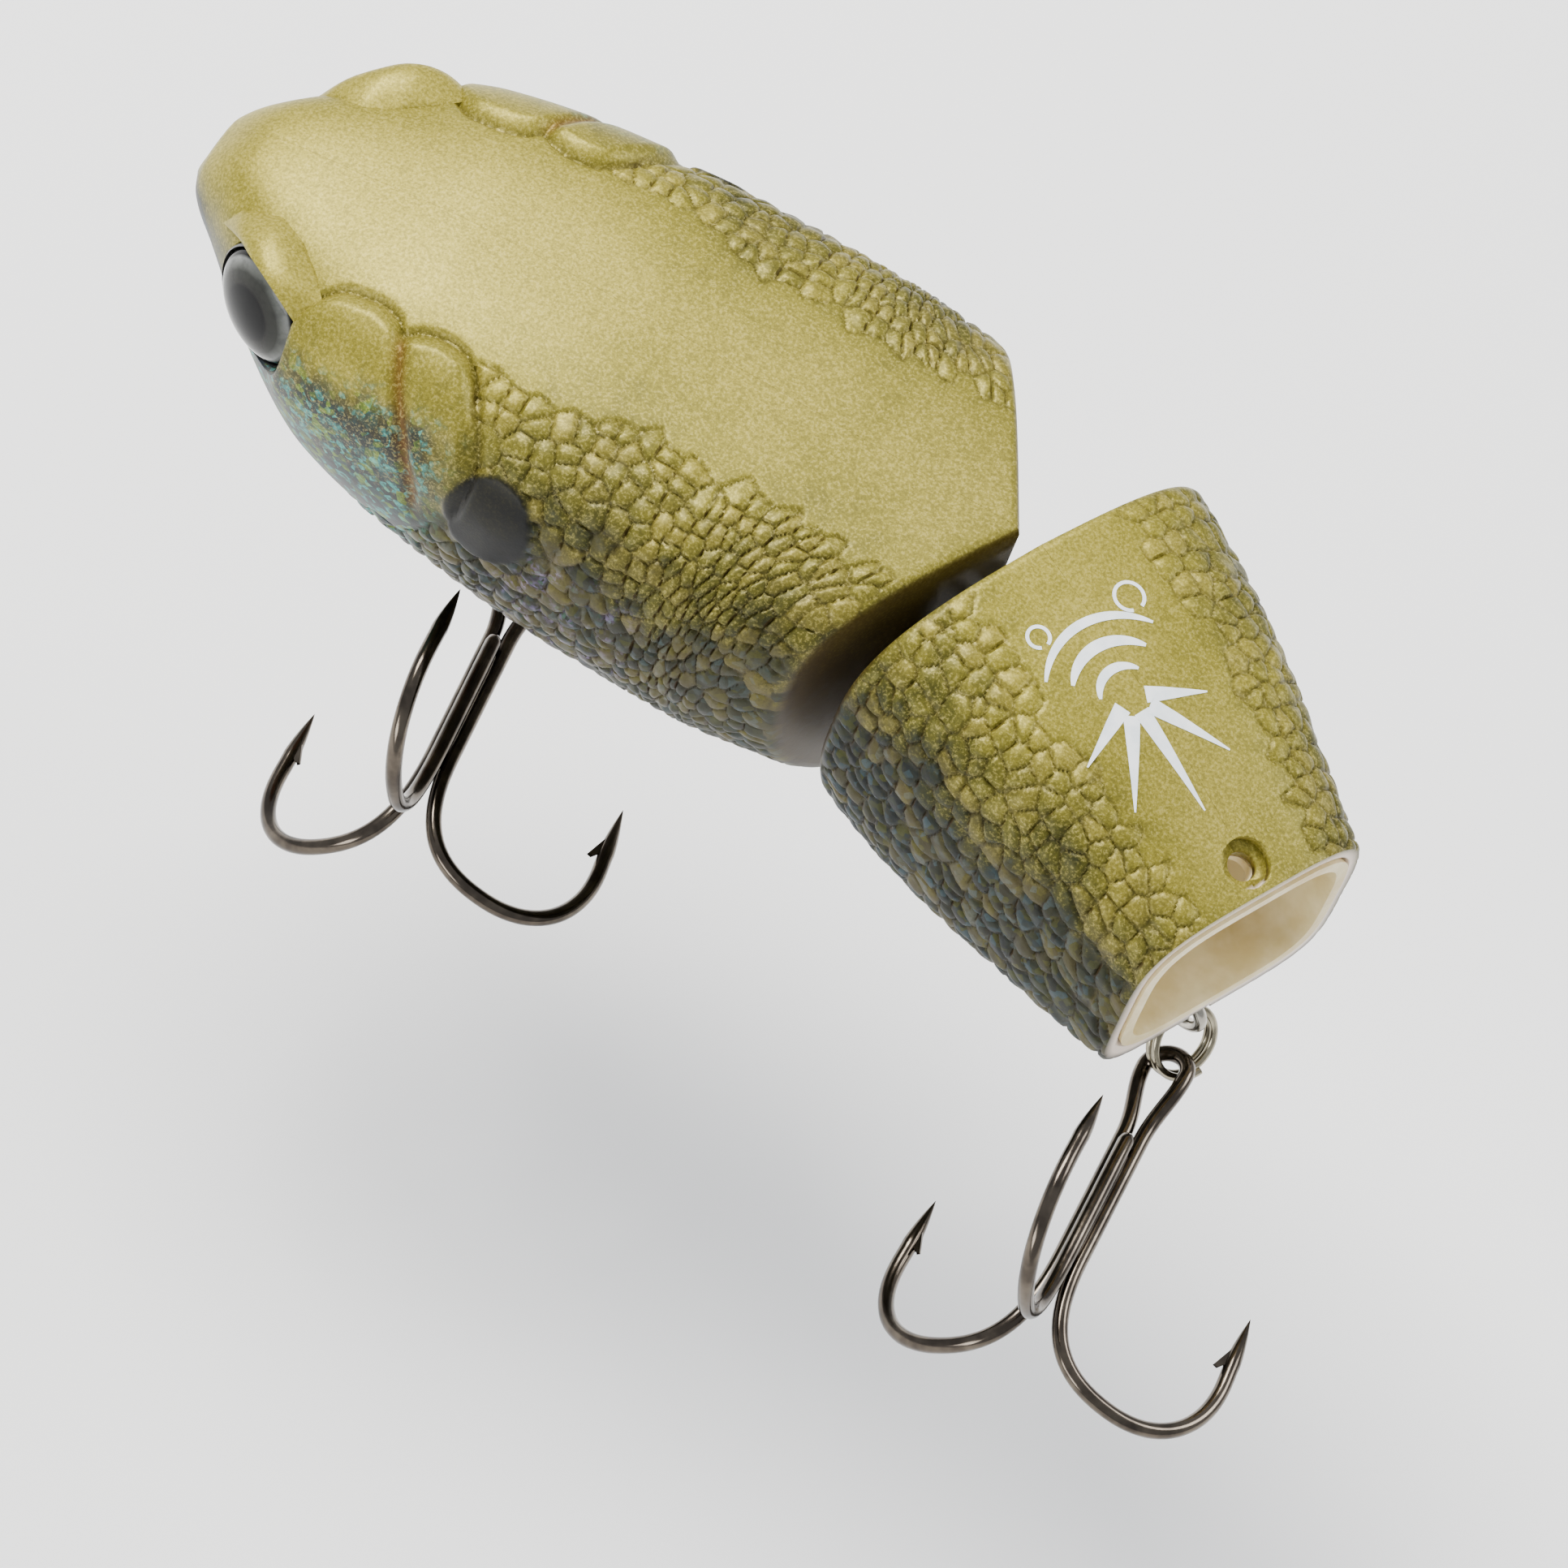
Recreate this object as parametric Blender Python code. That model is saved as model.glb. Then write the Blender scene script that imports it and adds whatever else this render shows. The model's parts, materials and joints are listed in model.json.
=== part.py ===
"""Jointed popper lure: a two-section bait whose popping cup is at the rear of the tail section.

Frame: +X towards the tail, +Y to the lure's right, +Z up, origin at the centre of the line tie's eye.
The sections are drawn straight, in millimetres, from the top of the front section's rear edge; the tail
and the hooks are then set at their resting angles on their own joint axes.
"""

import math

import bpy
import bmesh
from mathutils import Matrix, Vector

MM = 0.001

# Driving dimensions, in millimetres from the top of the front section's rear edge
LINE_TIE = Vector((-60.0, 0.0, -25.4))     # eye centre of the line tie, the frame's origin
NOSE_X = -67.2
TAIL_FRONT_X = 1.6
TAIL_REAR_X = 31.5
PIVOT_X = 1.2                              # vertical hinge axis between the sections
TAIL_REST_DEG = -25.5                      # the tail rests swung to the lure's left
WEDGE_DEG = 28.0                           # sweep of the front section's two rear facets
TAIL_FACE_DEG = 1.5                        # sweep of the tail's front face
SEAM = 0.1                                 # each half stands this far from the centre plane
WALL = 1.7                                 # shell wall
FIT = 0.3                                  # gap between touching pieces
EYE_DIAMETER = 9.2
EYE_CENTER = (-56.4, 10.3, -8.1)           # right eye's disc; the left one mirrors it
EYE_OUTWARD = (-0.44, 0.89, 0.10)
SOCKET_DEPTH = 1.3                         # below the disc's centre
SOCKET_LENGTH = 8.4
LINE_TIE_LOOP = 1.7
ARM_ANGLES = (210, 330)                    # the double hook's two arms round the shank

PIN_RADIUS = 0.8
HINGE_WIRE = 0.5
HINGE_EYE_RADIUS = 1.7
HINGE_SLOT_RADIUS = 2.7
HINGE_TOP_Z = -7.0
HINGE_BOTTOM_Z = -28.0
FRONT_HINGE_Z = (-9.6, -25.4)
TAIL_HINGE_Z = (-11.2, -23.8)

HANGER_WIRE = 0.5
RING_RADIUS = 2.75                         # split ring, centre line of its wire
RING_WIRE = 0.33
RING_PITCH = 0.71
HOOK_WIRE = 0.62
HOOK_EYE_HALF = 1.7                        # half width of the hook's eye, at the wire's centre line
HOOK_EYE_END = 8.0                         # where the eye's legs meet the shank
HOOK_SHANK_END = 19.5
HOOK_LENGTH = 28.4                         # eye to the bottom of the bend
HOOK_SPREAD = 14.7                         # point's distance from the shank
SHANK_OFFSET = 0.82                        # each of the three wires' distance from the shank's axis

# Profiles: (x, value) pairs along the body, joined by a smooth curve
FRONT_PROFILE = {
    "top": [(-67.2, -11.4), (-66.2, -7.3), (-62.5, -4.0), (-55, -2.4), (-45, -0.6), (-30, 0), (0, 0)],
    "mid": [(-67.2, -11.9), (-66.2, -10.0), (-60, -8.9), (-45, -11), (-25, -11), (0, -10.8)],
    "low": [(-67.2, -12.5), (-66.2, -14.3), (-62.5, -19.1), (-55, -26.2), (-45, -30.4), (-32, -32.4),
            (-16, -32.4), (0, -30.5)],
    "wide": [(-67.2, 0.8), (-66.2, 3.2), (-63.5, 5.7), (-58, 10.6), (-50, 15.2), (-40, 16.8), (-25, 18.0),
             (-10, 17.8), (0, 16.8)],
    "shoulder": [(-67.2, 2.8), (-60, 2.5), (-40, 3.2), (0, 3.5)],
    "keel": [(-67.2, 1.8), (-60, 1.7), (-40, 1.8), (0, 2.0)],
}
TAIL_PROFILE = {
    "top": [(1.6, 0), (15, -1.4), (31.5, -6.0)],
    "mid": [(1.6, -12), (31.5, -15.0)],
    "low": [(1.6, -30.5), (12, -29.2), (24, -26.3), (31.5, -24.2)],
    "wide": [(1.6, 17.0), (10, 15.8), (31.5, 10.7)],
    "shoulder": [(1.6, 3.2), (31.5, 3.6)],
    "keel": [(1.6, 2.2), (20, 3.2), (31.5, 5.0)],
}
CUP_PROFILE = {
    "top": [(17.0, -8.2), (24, -7.4), (31.5, -6.8)],
    "mid": [(17.0, -15.0), (31.5, -15.0)],
    "low": [(17.0, -21.8), (24, -22.4), (31.5, -22.9)],
    "wide": [(17.0, 7.6), (24, 9.0), (31.5, 9.9)],
    "shoulder": [(17.0, 3.2), (31.5, 3.8)],
    "keel": [(17.0, 3.2), (31.5, 4.6)],
}
CUP_FLOOR_X = 18.4                         # inner end of the cup
ROOF_HOLE = Vector((28.9, 0.0, -5.4))
ROOF_HOLE_RADIUS = 1.15
COUNTERBORE_RADIUS = 1.95
COUNTERBORE_DEPTH = 0.75

# Hooks hang out to the lure's left; directions are unit vectors in the straight section's axes
BELLY_HANGER = Vector((-33.2, 0.0, -34.7))     # lowest point of the hanger's wire
BELLY_LINK = {
    "hanger_up": Vector((0.0, 0.0, 1.0)),
    "hanger_wire": Vector((1.0, 0.0, 0.0)),
    "hanger_radius": 1.8,
    "ring_center": Vector((0.0, 0.3, -1.25)),
    "ring_normal": Vector((1.0, 0.0, 0.0)),
    "eye": Vector((0.0, -0.5, -1.25)),
    "shank": Vector((0.116, -0.993, 0.026)),
    "arm": Vector((-0.22, 0.0, 0.98)),
    "twist": 0.0,
}
TAIL_HANGER = Vector((30.75, 0.0, -27.4))
TAIL_LINK = {
    "hanger_up": Vector((-0.561, -0.165, 0.812)),
    "hanger_wire": Vector((-0.811, -0.092, -0.578)),
    "hanger_radius": 1.78,
    "ring_center": Vector((0.61, -0.94, -0.62)),
    "ring_normal": Vector((0.814, -0.064, 0.578)),
    "eye": Vector((0.81, -1.54, -1.93)),
    "shank": Vector((0.482, -0.876, 0.021)),
    "arm": Vector((-0.20, -0.09, 0.98)),
    "twist": -11.0,
}
TAIL_SHANK_RISE = 0.6                      # the tail hanger's shank above the top of its loop
RATTLE = Vector((-17.0, 0.0, -17.5))       # centre of the rattle tube
RATTLE_HALF = 8.5
BALL_RADIUS = 2.4


def remove_everything():
    for item in list(bpy.data.objects):
        bpy.data.objects.remove(item)


def material(name, color, roughness, metallic=0.0, alpha=1.0):
    made = bpy.data.materials.new(name)
    made.use_nodes = True
    shader = made.node_tree.nodes["Principled BSDF"]
    shader.inputs["Base Color"].default_value = (*color, 1.0)
    shader.inputs["Roughness"].default_value = roughness
    shader.inputs["Metallic"].default_value = metallic
    shader.inputs["Alpha"].default_value = alpha
    made.diffuse_color = (*color, 1.0)
    return made


def empty(name, location, parent=None, turn=0.0):
    made = bpy.data.objects.new(name, None)
    bpy.context.scene.collection.objects.link(made)
    made.parent = parent
    made.location = location * MM
    made.rotation_euler = (0.0, 0.0, math.radians(turn))
    return made


def add_object(name, mesh, parent, finish=None, sharp=40.0):
    """Put a bmesh, in millimetres, into a named object under its parent empty."""
    bmesh.ops.scale(mesh, vec=(MM, MM, MM), verts=mesh.verts)
    bmesh.ops.recalc_face_normals(mesh, faces=mesh.faces)
    data = bpy.data.meshes.new(name)
    mesh.to_mesh(data)
    mesh.free()
    made = bpy.data.objects.new(name, data)
    bpy.context.scene.collection.objects.link(made)
    made.parent = parent
    if finish:
        data.materials.append(finish)
    data.shade_smooth()
    data.set_sharp_from_angle(angle=math.radians(sharp))
    return made


def cutter(name, mesh, parent):
    made = add_object(name, mesh, parent)
    made.hide_render = True
    made.display_type = "WIRE"
    return made


def cut(target, *tools):
    for tool in tools:
        step = target.modifiers.new(tool.name, "BOOLEAN")
        step.operation = "DIFFERENCE"
        step.solver = "EXACT"
        step.object = tool


def curve_value(points, x):
    """A smooth curve through (x, value) points that never overshoots them."""
    if x <= points[0][0]:
        return points[0][1]
    if x >= points[-1][0]:
        return points[-1][1]
    last = len(points) - 1
    i = max(k for k in range(last) if points[k][0] <= x)

    def grade(k):
        before = after = None
        if k > 0:
            before = (points[k][1] - points[k - 1][1]) / (points[k][0] - points[k - 1][0])
        if k < last:
            after = (points[k + 1][1] - points[k][1]) / (points[k + 1][0] - points[k][0])
        if before is None or after is None:
            return after if before is None else before
        if before * after <= 0:
            return 0.0
        return 2 * before * after / (before + after)

    width = points[i + 1][0] - points[i][0]
    t = (x - points[i][0]) / width
    start, end = points[i][1], points[i + 1][1]
    rise = (t ** 3 - 2 * t ** 2 + t) * grade(i) * width + (t ** 3 - t ** 2) * grade(i + 1) * width
    return start + (end - start) * (3 * t ** 2 - 2 * t ** 3) + rise


def section_point(profile, x, t, inset=0.0):
    """Half-section point at station x: t runs from the back (0) down the flank to the keel (1)."""
    top = curve_value(profile["top"], x) - inset
    mid = curve_value(profile["mid"], x)
    low = curve_value(profile["low"], x) + inset
    wide = curve_value(profile["wide"], x) - inset
    if t <= 0.5:
        angle = math.pi * t
        power = 2 / curve_value(profile["shoulder"], x)
        return wide * math.sin(angle) ** power, mid + (top - mid) * max(math.cos(angle), 0.0) ** power
    angle = math.pi * (t - 0.5)
    power = 2 / curve_value(profile["keel"], x)
    return wide * max(math.cos(angle), 0.0) ** power, mid + (low - mid) * math.sin(angle) ** power


def half_loft(profile, stations, side, inset=0.0, steps=12, shear=None, seam=SEAM):
    """Closed half body on one side of the centre plane; shear(x, y) moves a station's rim along X."""
    mesh = bmesh.new()
    rings = []
    for x in stations:
        ring = []
        for k in range(steps + 1):
            y, z = section_point(profile, x, k / steps, inset)
            y = max(y, seam)
            shift = shear(x, y) if shear else 0.0
            ring.append(mesh.verts.new((x + shift, side * y, z)))
        rings.append(ring)
    for a, b in zip(rings, rings[1:]):
        for k in range(steps + 1):
            n = (k + 1) % (steps + 1)
            mesh.faces.new((a[k], b[k], b[n], a[n]))
    mesh.faces.new(rings[0])
    mesh.faces.new(rings[-1])
    return mesh


def both_loft(profile, stations, inset=0.0, steps=12, overshoot=0.0):
    """Closed full body, mirrored across the centre plane."""
    mesh = bmesh.new()
    rings = []
    for index, x in enumerate(stations):
        points = [section_point(profile, x, k / steps, inset) for k in range(steps + 1)]
        loop = [(y, z) for y, z in points] + [(-y, z) for y, z in reversed(points[1:-1])]
        place = x + (overshoot if index == len(stations) - 1 else 0.0)
        rings.append([mesh.verts.new((place, y, z)) for y, z in loop])
    count = len(rings[0])
    for a, b in zip(rings, rings[1:]):
        for k in range(count):
            n = (k + 1) % count
            mesh.faces.new((a[k], b[k], b[n], a[n]))
    mesh.faces.new(rings[0])
    mesh.faces.new(rings[-1])
    return mesh


def ease(value):
    value = min(max(value, 0.0), 1.0)
    return value * value * (3 - 2 * value)


def front_shear(x, y):
    return -math.tan(math.radians(WEDGE_DEG)) * abs(y) * ease((x + 24.0) / 24.0)


def tail_shear(x, y):
    return math.tan(math.radians(TAIL_FACE_DEG)) * abs(y) * ease((20.0 - x) / 18.0)


def cylinder(center, axis, radius, length, sides=24):
    mesh = bmesh.new()
    bmesh.ops.create_cone(mesh, cap_ends=True, segments=sides, radius1=radius, radius2=radius,
                          depth=length)
    turn = Vector((0.0, 0.0, 1.0)).rotation_difference(axis.normalized()).to_matrix().to_4x4()
    bmesh.ops.transform(mesh, matrix=Matrix.Translation(center) @ turn, verts=mesh.verts)
    return mesh


def turned(profile, center, axis, sides=28):
    """Solid of revolution: (radius, height) points from one end of the axis to the other."""
    mesh = bmesh.new()
    rings = []
    for radius, height in profile:
        if radius == 0.0:
            rings.append([mesh.verts.new((0.0, 0.0, height))])
            continue
        ring = []
        for k in range(sides):
            angle = 2 * math.pi * k / sides
            ring.append(mesh.verts.new((radius * math.cos(angle), radius * math.sin(angle), height)))
        rings.append(ring)
    for a, b in zip(rings, rings[1:]):
        for k in range(sides):
            n = (k + 1) % sides
            if len(a) == 1:
                mesh.faces.new((a[0], b[k], b[n]))
            elif len(b) == 1:
                mesh.faces.new((a[k], a[n], b[0]))
            else:
                mesh.faces.new((a[k], a[n], b[n], b[k]))
    turn = Vector((0.0, 0.0, 1.0)).rotation_difference(axis.normalized()).to_matrix().to_4x4()
    bmesh.ops.transform(mesh, matrix=Matrix.Translation(center) @ turn, verts=mesh.verts)
    return mesh


def wire(points, radii, sides=8):
    """Round wire through the points, one radius each, with flat ends; the frame is carried along."""
    mesh = bmesh.new()
    count = len(points)
    tangents = []
    for k in range(count):
        ahead = points[min(k + 1, count - 1)]
        behind = points[max(k - 1, 0)]
        tangents.append((ahead - behind).normalized())
    across = tangents[0].orthogonal().normalized()
    rings = []
    for k, point in enumerate(points):
        if k:
            across = tangents[k - 1].rotation_difference(tangents[k]) @ across
            across = (across - tangents[k] * across.dot(tangents[k])).normalized()
        other = tangents[k].cross(across)
        ring = []
        for j in range(sides):
            angle = 2 * math.pi * j / sides
            spoke = across * math.cos(angle) + other * math.sin(angle)
            ring.append(mesh.verts.new(point + spoke * radii[k]))
        rings.append(ring)
    for a, b in zip(rings, rings[1:]):
        for j in range(sides):
            n = (j + 1) % sides
            mesh.faces.new((a[j], a[n], b[n], b[j]))
    mesh.faces.new(rings[0])
    mesh.faces.new(rings[-1])
    return mesh


def even_wire(points, radius, sides=8):
    return wire(points, [radius] * len(points), sides)


def screw_eye_points(center, out, plane_axis, radius, shank, turns=0.86, steps=20):
    """Straight shank along -out into the body, then an open round eye about center.

    out points from the body to the eye, and plane_axis lies in the eye's plane across it.
    """
    out = out.normalized()
    across = (plane_axis - out * plane_axis.dot(out)).normalized()
    points = [center - out * (radius + shank), center - out * (radius + 0.5 * shank)]
    for k in range(steps + 1):
        angle = 2 * math.pi * turns * k / steps
        points.append(center - out * (radius * math.cos(angle)) + across * (radius * math.sin(angle)))
    return points


def bezier(a, b, c, d, steps):
    out = []
    for k in range(1, steps + 1):
        t = k / steps
        out.append(a * (1 - t) ** 3 + b * 3 * t * (1 - t) ** 2 + c * 3 * t ** 2 * (1 - t) + d * t ** 3)
    return out


def hook_arm(direction, down):
    """Wire centre line from the shank's end round the bend to the point, and its radii."""
    def at(radial, along):
        return direction * radial + down * along

    mid = HOOK_SPREAD * 0.54
    start = at(SHANK_OFFSET, HOOK_SHANK_END)
    bottom = at(mid, HOOK_LENGTH)
    rise = at(HOOK_SPREAD + 0.3, HOOK_LENGTH - 7.6)
    tip = at(HOOK_SPREAD - 0.1, HOOK_LENGTH - 13.6)
    points = [start]
    points += bezier(start, at(SHANK_OFFSET, HOOK_LENGTH - 2.2), at(mid * 0.42, HOOK_LENGTH), bottom, 7)
    points += bezier(bottom, at(mid * 1.55, HOOK_LENGTH),
                     at(HOOK_SPREAD + 0.5, HOOK_LENGTH - 3.2), rise, 7)
    straight = 5
    points += [rise.lerp(tip, k / straight) for k in range(1, straight + 1)]
    radii = [HOOK_WIRE] * (len(points) - 4)
    radii += [HOOK_WIRE * 0.86, HOOK_WIRE * 0.62, HOOK_WIRE * 0.36, HOOK_WIRE * 0.08]
    return points, radii


def hook_barb(direction, down, across):
    """Thin wedge lifted from the inner side of the point, for joining to the wire."""
    foot = HOOK_LENGTH - 9.0
    mesh = bmesh.new()
    inner = HOOK_SPREAD + 0.15
    corners = []
    for side in (-0.16, 0.16):
        for radial, along in ((inner, foot - 2.2), (inner - HOOK_WIRE - 0.55, foot + 0.5), (inner, foot)):
            corners.append(mesh.verts.new(direction * radial + down * along + across * side))
    a, b, c, d, e, f = corners
    mesh.faces.new((a, b, c))
    mesh.faces.new((d, f, e))
    mesh.faces.new((a, d, e, b))
    mesh.faces.new((b, e, f, c))
    mesh.faces.new((c, f, d, a))
    return mesh


def hook_axes(link):
    down = link["shank"].normalized()
    up = (link["arm"] - down * link["arm"].dot(down)).normalized()
    side = down.cross(up)
    return down, up, side


def hook_directions(link):
    """The three arms at 120 degrees: the double hook's two, then the single hook's."""
    down, up, side = hook_axes(link)
    low = [side * math.cos(math.radians(a)) + up * math.sin(math.radians(a)) for a in ARM_ANGLES]
    return low + [up]


def hook_eye(link):
    """Centre line of the double hook's eye, from one leg on the shank over the top to the other."""
    down, up, side = hook_axes(link)
    twist = math.radians(link["twist"])
    flat = side * math.cos(twist) + up * math.sin(twist)
    first, second, _ = hook_directions(link)
    top = []
    steps = 8
    for k in range(steps + 1):
        angle = math.pi * (k / steps - 0.5)
        top.append(flat * (HOOK_EYE_HALF * math.sin(angle))
                   + down * (HOOK_EYE_HALF * (1 - math.cos(angle))))
    starts = [(first, -1.0), (second, 1.0)] if first.dot(flat) < 0 else [(second, -1.0), (first, 1.0)]
    legs = []
    for direction, sign in starts:
        upper = flat * (HOOK_EYE_HALF * sign) + down * HOOK_EYE_HALF
        lower = direction * SHANK_OFFSET + down * HOOK_EYE_END
        legs.append(bezier(upper, upper + down * 2.2, lower - down * 2.6, lower, 6))
    return top, legs, [item[0] for item in starts]


def double_hook(name, link, parent, finish):
    down = hook_axes(link)[0]
    top, legs, arms = hook_eye(link)
    points, radii = [], []
    arm_points, arm_radii = hook_arm(arms[0], down)
    points += list(reversed(arm_points))
    radii += list(reversed(arm_radii))
    middle = list(reversed(legs[0])) + top + legs[1]
    points += middle
    radii += [HOOK_WIRE] * len(middle)
    arm_points, arm_radii = hook_arm(arms[1], down)
    points += arm_points
    radii += arm_radii
    made = add_object(name, wire(points, radii, sides=7), parent, finish)
    for index, direction in enumerate(arms):
        add_barb(made, f"{name}_barb_{index}", direction, down, parent)
    return made


def add_barb(target, name, direction, down, parent):
    tool = cutter(name, hook_barb(direction, down, direction.cross(down)), parent)
    step = target.modifiers.new(name, "BOOLEAN")
    step.operation = "UNION"
    step.solver = "EXACT"
    step.object = tool


def single_hook(name, link, parent, finish):
    down = hook_axes(link)[0]
    direction = hook_directions(link)[2]
    arm_points, arm_radii = hook_arm(direction, down)
    start = direction * (SHANK_OFFSET + 0.12) + down * (HOOK_EYE_END + 0.6)
    body = [start, start.lerp(arm_points[0], 0.08)]
    points = body + arm_points
    radii = [HOOK_WIRE * 0.7, HOOK_WIRE] + arm_radii
    made = add_object(name, wire(points, radii, sides=7), parent, finish)
    add_barb(made, f"{name}_barb", direction, down, parent)
    return made


def split_ring(name, link, parent, finish):
    """Two flat turns of spring wire around the ring's centre, drawn from the hanger's wire."""
    normal = link["ring_normal"].normalized()
    center = link["ring_center"]
    reach = (center - normal * center.dot(normal)).normalized()
    across = normal.cross(reach)
    points = []
    steps = 44
    for k in range(steps + 1):
        turn = k / steps * 2.0
        angle = 2 * math.pi * turn + math.radians(60)
        lift = (turn - 1.0) * RING_PITCH
        points.append(center + reach * (RING_RADIUS * math.cos(angle))
                      + across * (RING_RADIUS * math.sin(angle)) + normal * lift)
    return add_object(name, even_wire(points, RING_WIRE, sides=6), parent, finish)


def eye_place(side):
    """Centre and outward direction of one eye, on the cheek."""
    center = Vector((EYE_CENTER[0], side * EYE_CENTER[1], EYE_CENTER[2]))
    outward = Vector((EYE_OUTWARD[0], side * EYE_OUTWARD[1], EYE_OUTWARD[2])).normalized()
    return center, outward


def lofted_stations(start, end, count, power=1.0):
    return [start + (end - start) * (k / (count - 1)) ** power for k in range(count)]


def build_front(parent, paint, steel, iris, lens, lead, brass):
    outer = lofted_stations(NOSE_X, 0.0, 22, 1.45)
    cavity = lofted_stations(NOSE_X + 7.5, -12.5, 9)
    slot = cutter("front_hinge_slot", cylinder(
        Vector((PIVOT_X, 0, (HINGE_TOP_Z + HINGE_BOTTOM_Z) / 2)), Vector((0, 0, 1)),
        HINGE_SLOT_RADIUS, HINGE_TOP_Z - HINGE_BOTTOM_Z), parent)
    grooves = [cutter(f"front_hinge_groove_{k}", cylinder(
        Vector((-5.0, 0, z)), Vector((1, 0, 0)), HINGE_WIRE + 0.25, 9.0, 12), parent)
        for k, z in enumerate(FRONT_HINGE_Z)]
    tie_groove = cutter("line_tie_groove", cylinder(
        LINE_TIE + Vector((0, 0, 6.0)), Vector((0, 0, 1)), HANGER_WIRE + 0.25, 10.4, 12), parent)
    hanger_groove = cutter("belly_hanger_groove", cylinder(
        BELLY_HANGER + Vector((0, 0, 6.2)), Vector((0, 0, 1)), HANGER_WIRE + 0.25, 9.6, 12), parent)
    hanger_relief = cutter("belly_hanger_relief", cylinder(
        BELLY_HANGER + Vector((0, 0, 1.8)), Vector((0, 1, 0)), 2.75, 1.7, 20), parent)
    nose_hole = cutter("nose_hole", cylinder(
        Vector((-66.0, 0, -10.0)), Vector((1, 0, 0.35)), 0.55, 5.0, 12), parent)
    for side, word in ((-1, "left"), (1, "right")):
        shell = add_object(f"front_shell_{word}", half_loft(
            FRONT_PROFILE, outer, side, shear=front_shear), parent, paint, 30)
        hollow = cutter(f"front_hollow_{word}", half_loft(
            FRONT_PROFILE, cavity, side, inset=WALL, steps=8, seam=-1.0), parent)
        center, outward = eye_place(side)
        socket = cutter(f"eye_socket_{word}", cylinder(
            center + outward * (SOCKET_LENGTH / 2 - SOCKET_DEPTH), outward, EYE_DIAMETER / 2 + FIT,
            SOCKET_LENGTH, 28), parent)
        cut(shell, hollow, socket, slot, *grooves, tie_groove, hanger_groove, hanger_relief, nose_hole)
        add_object(f"eye_{word}", turned(
            [(0, -SOCKET_DEPTH + FIT), (EYE_DIAMETER / 2 - 0.3, -SOCKET_DEPTH + FIT),
             (EYE_DIAMETER / 2, -SOCKET_DEPTH + 2 * FIT), (EYE_DIAMETER / 2, 0.2), (0, 0.2)],
            center, outward), parent, iris)
        radius = EYE_DIAMETER / 2
        dome = [(0, 0.45), (radius, 0.45), (radius, 0.8), (radius * 0.8, 1.75), (radius * 0.5, 2.4),
                (radius * 0.2, 2.7), (0, 2.75)]
        add_object(f"eye_lens_{word}", turned(dome, center, outward), parent, lens)
    for z, word in zip(FRONT_HINGE_Z, ("upper", "lower")):
        eye = screw_eye_points(Vector((PIVOT_X, 0, z)), Vector((1, 0, 0)), Vector((0, 1, 0)),
                               HINGE_EYE_RADIUS, 7.5)
        add_object(f"front_hinge_eye_{word}", even_wire(eye, HINGE_WIRE), parent, steel)
    head = PIN_RADIUS + 0.55
    top, low = FRONT_HINGE_Z[0] + 1.0, FRONT_HINGE_Z[1] - 1.0
    add_object("hinge_pin", turned(
        [(0, low - 0.7), (head, low - 0.7), (head, low), (PIN_RADIUS, low), (PIN_RADIUS, top),
         (head, top), (head, top + 0.7), (0, top + 0.7)], Vector((PIVOT_X, 0, 0)),
        Vector((0, 0, 1)), 16), parent, steel)
    tie = screw_eye_points(LINE_TIE, Vector((0, 0, -1)), Vector((1, 0, 0)), LINE_TIE_LOOP, 8.0)
    add_object("line_tie", even_wire(tie, HANGER_WIRE), parent, steel)
    up = BELLY_LINK["hanger_up"]
    radius = BELLY_LINK["hanger_radius"]
    hanger = screw_eye_points(BELLY_HANGER + up * radius, -up, BELLY_LINK["hanger_wire"], radius, 6.0)
    add_object("belly_hanger", even_wire(hanger, HANGER_WIRE), parent, steel)
    weight = turned([(0, -6.5), (2.4, -6.0), (3.6, -4), (4.0, 0), (3.6, 4), (2.4, 6.0), (0, 6.5)],
                    Vector((-43.0, 0, -20.5)), Vector((1, 0, 0)), 16)
    add_object("belly_weight", weight, parent, lead)
    outer_radius = BALL_RADIUS + 0.9
    inner_radius = BALL_RADIUS + 0.25
    tube = turned([(inner_radius, -RATTLE_HALF), (outer_radius, -RATTLE_HALF),
                   (outer_radius, RATTLE_HALF), (inner_radius, RATTLE_HALF),
                   (inner_radius, -RATTLE_HALF)], RATTLE, Vector((0, 1, 0)), 20)
    bmesh.ops.remove_doubles(tube, verts=tube.verts, dist=0.001)
    add_object("rattle_tube", tube, parent, brass)


def build_rattle_ball(parent, steel):
    ball = [(BALL_RADIUS * math.sin(math.pi * k / 8), -BALL_RADIUS * math.cos(math.pi * k / 8))
            for k in range(9)]
    ball[0] = (0, -BALL_RADIUS)
    ball[-1] = (0, BALL_RADIUS)
    add_object("rattle_ball", turned(ball, Vector((0, 0, 0)), Vector((0, 0, 1)), 14), parent, steel)


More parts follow.
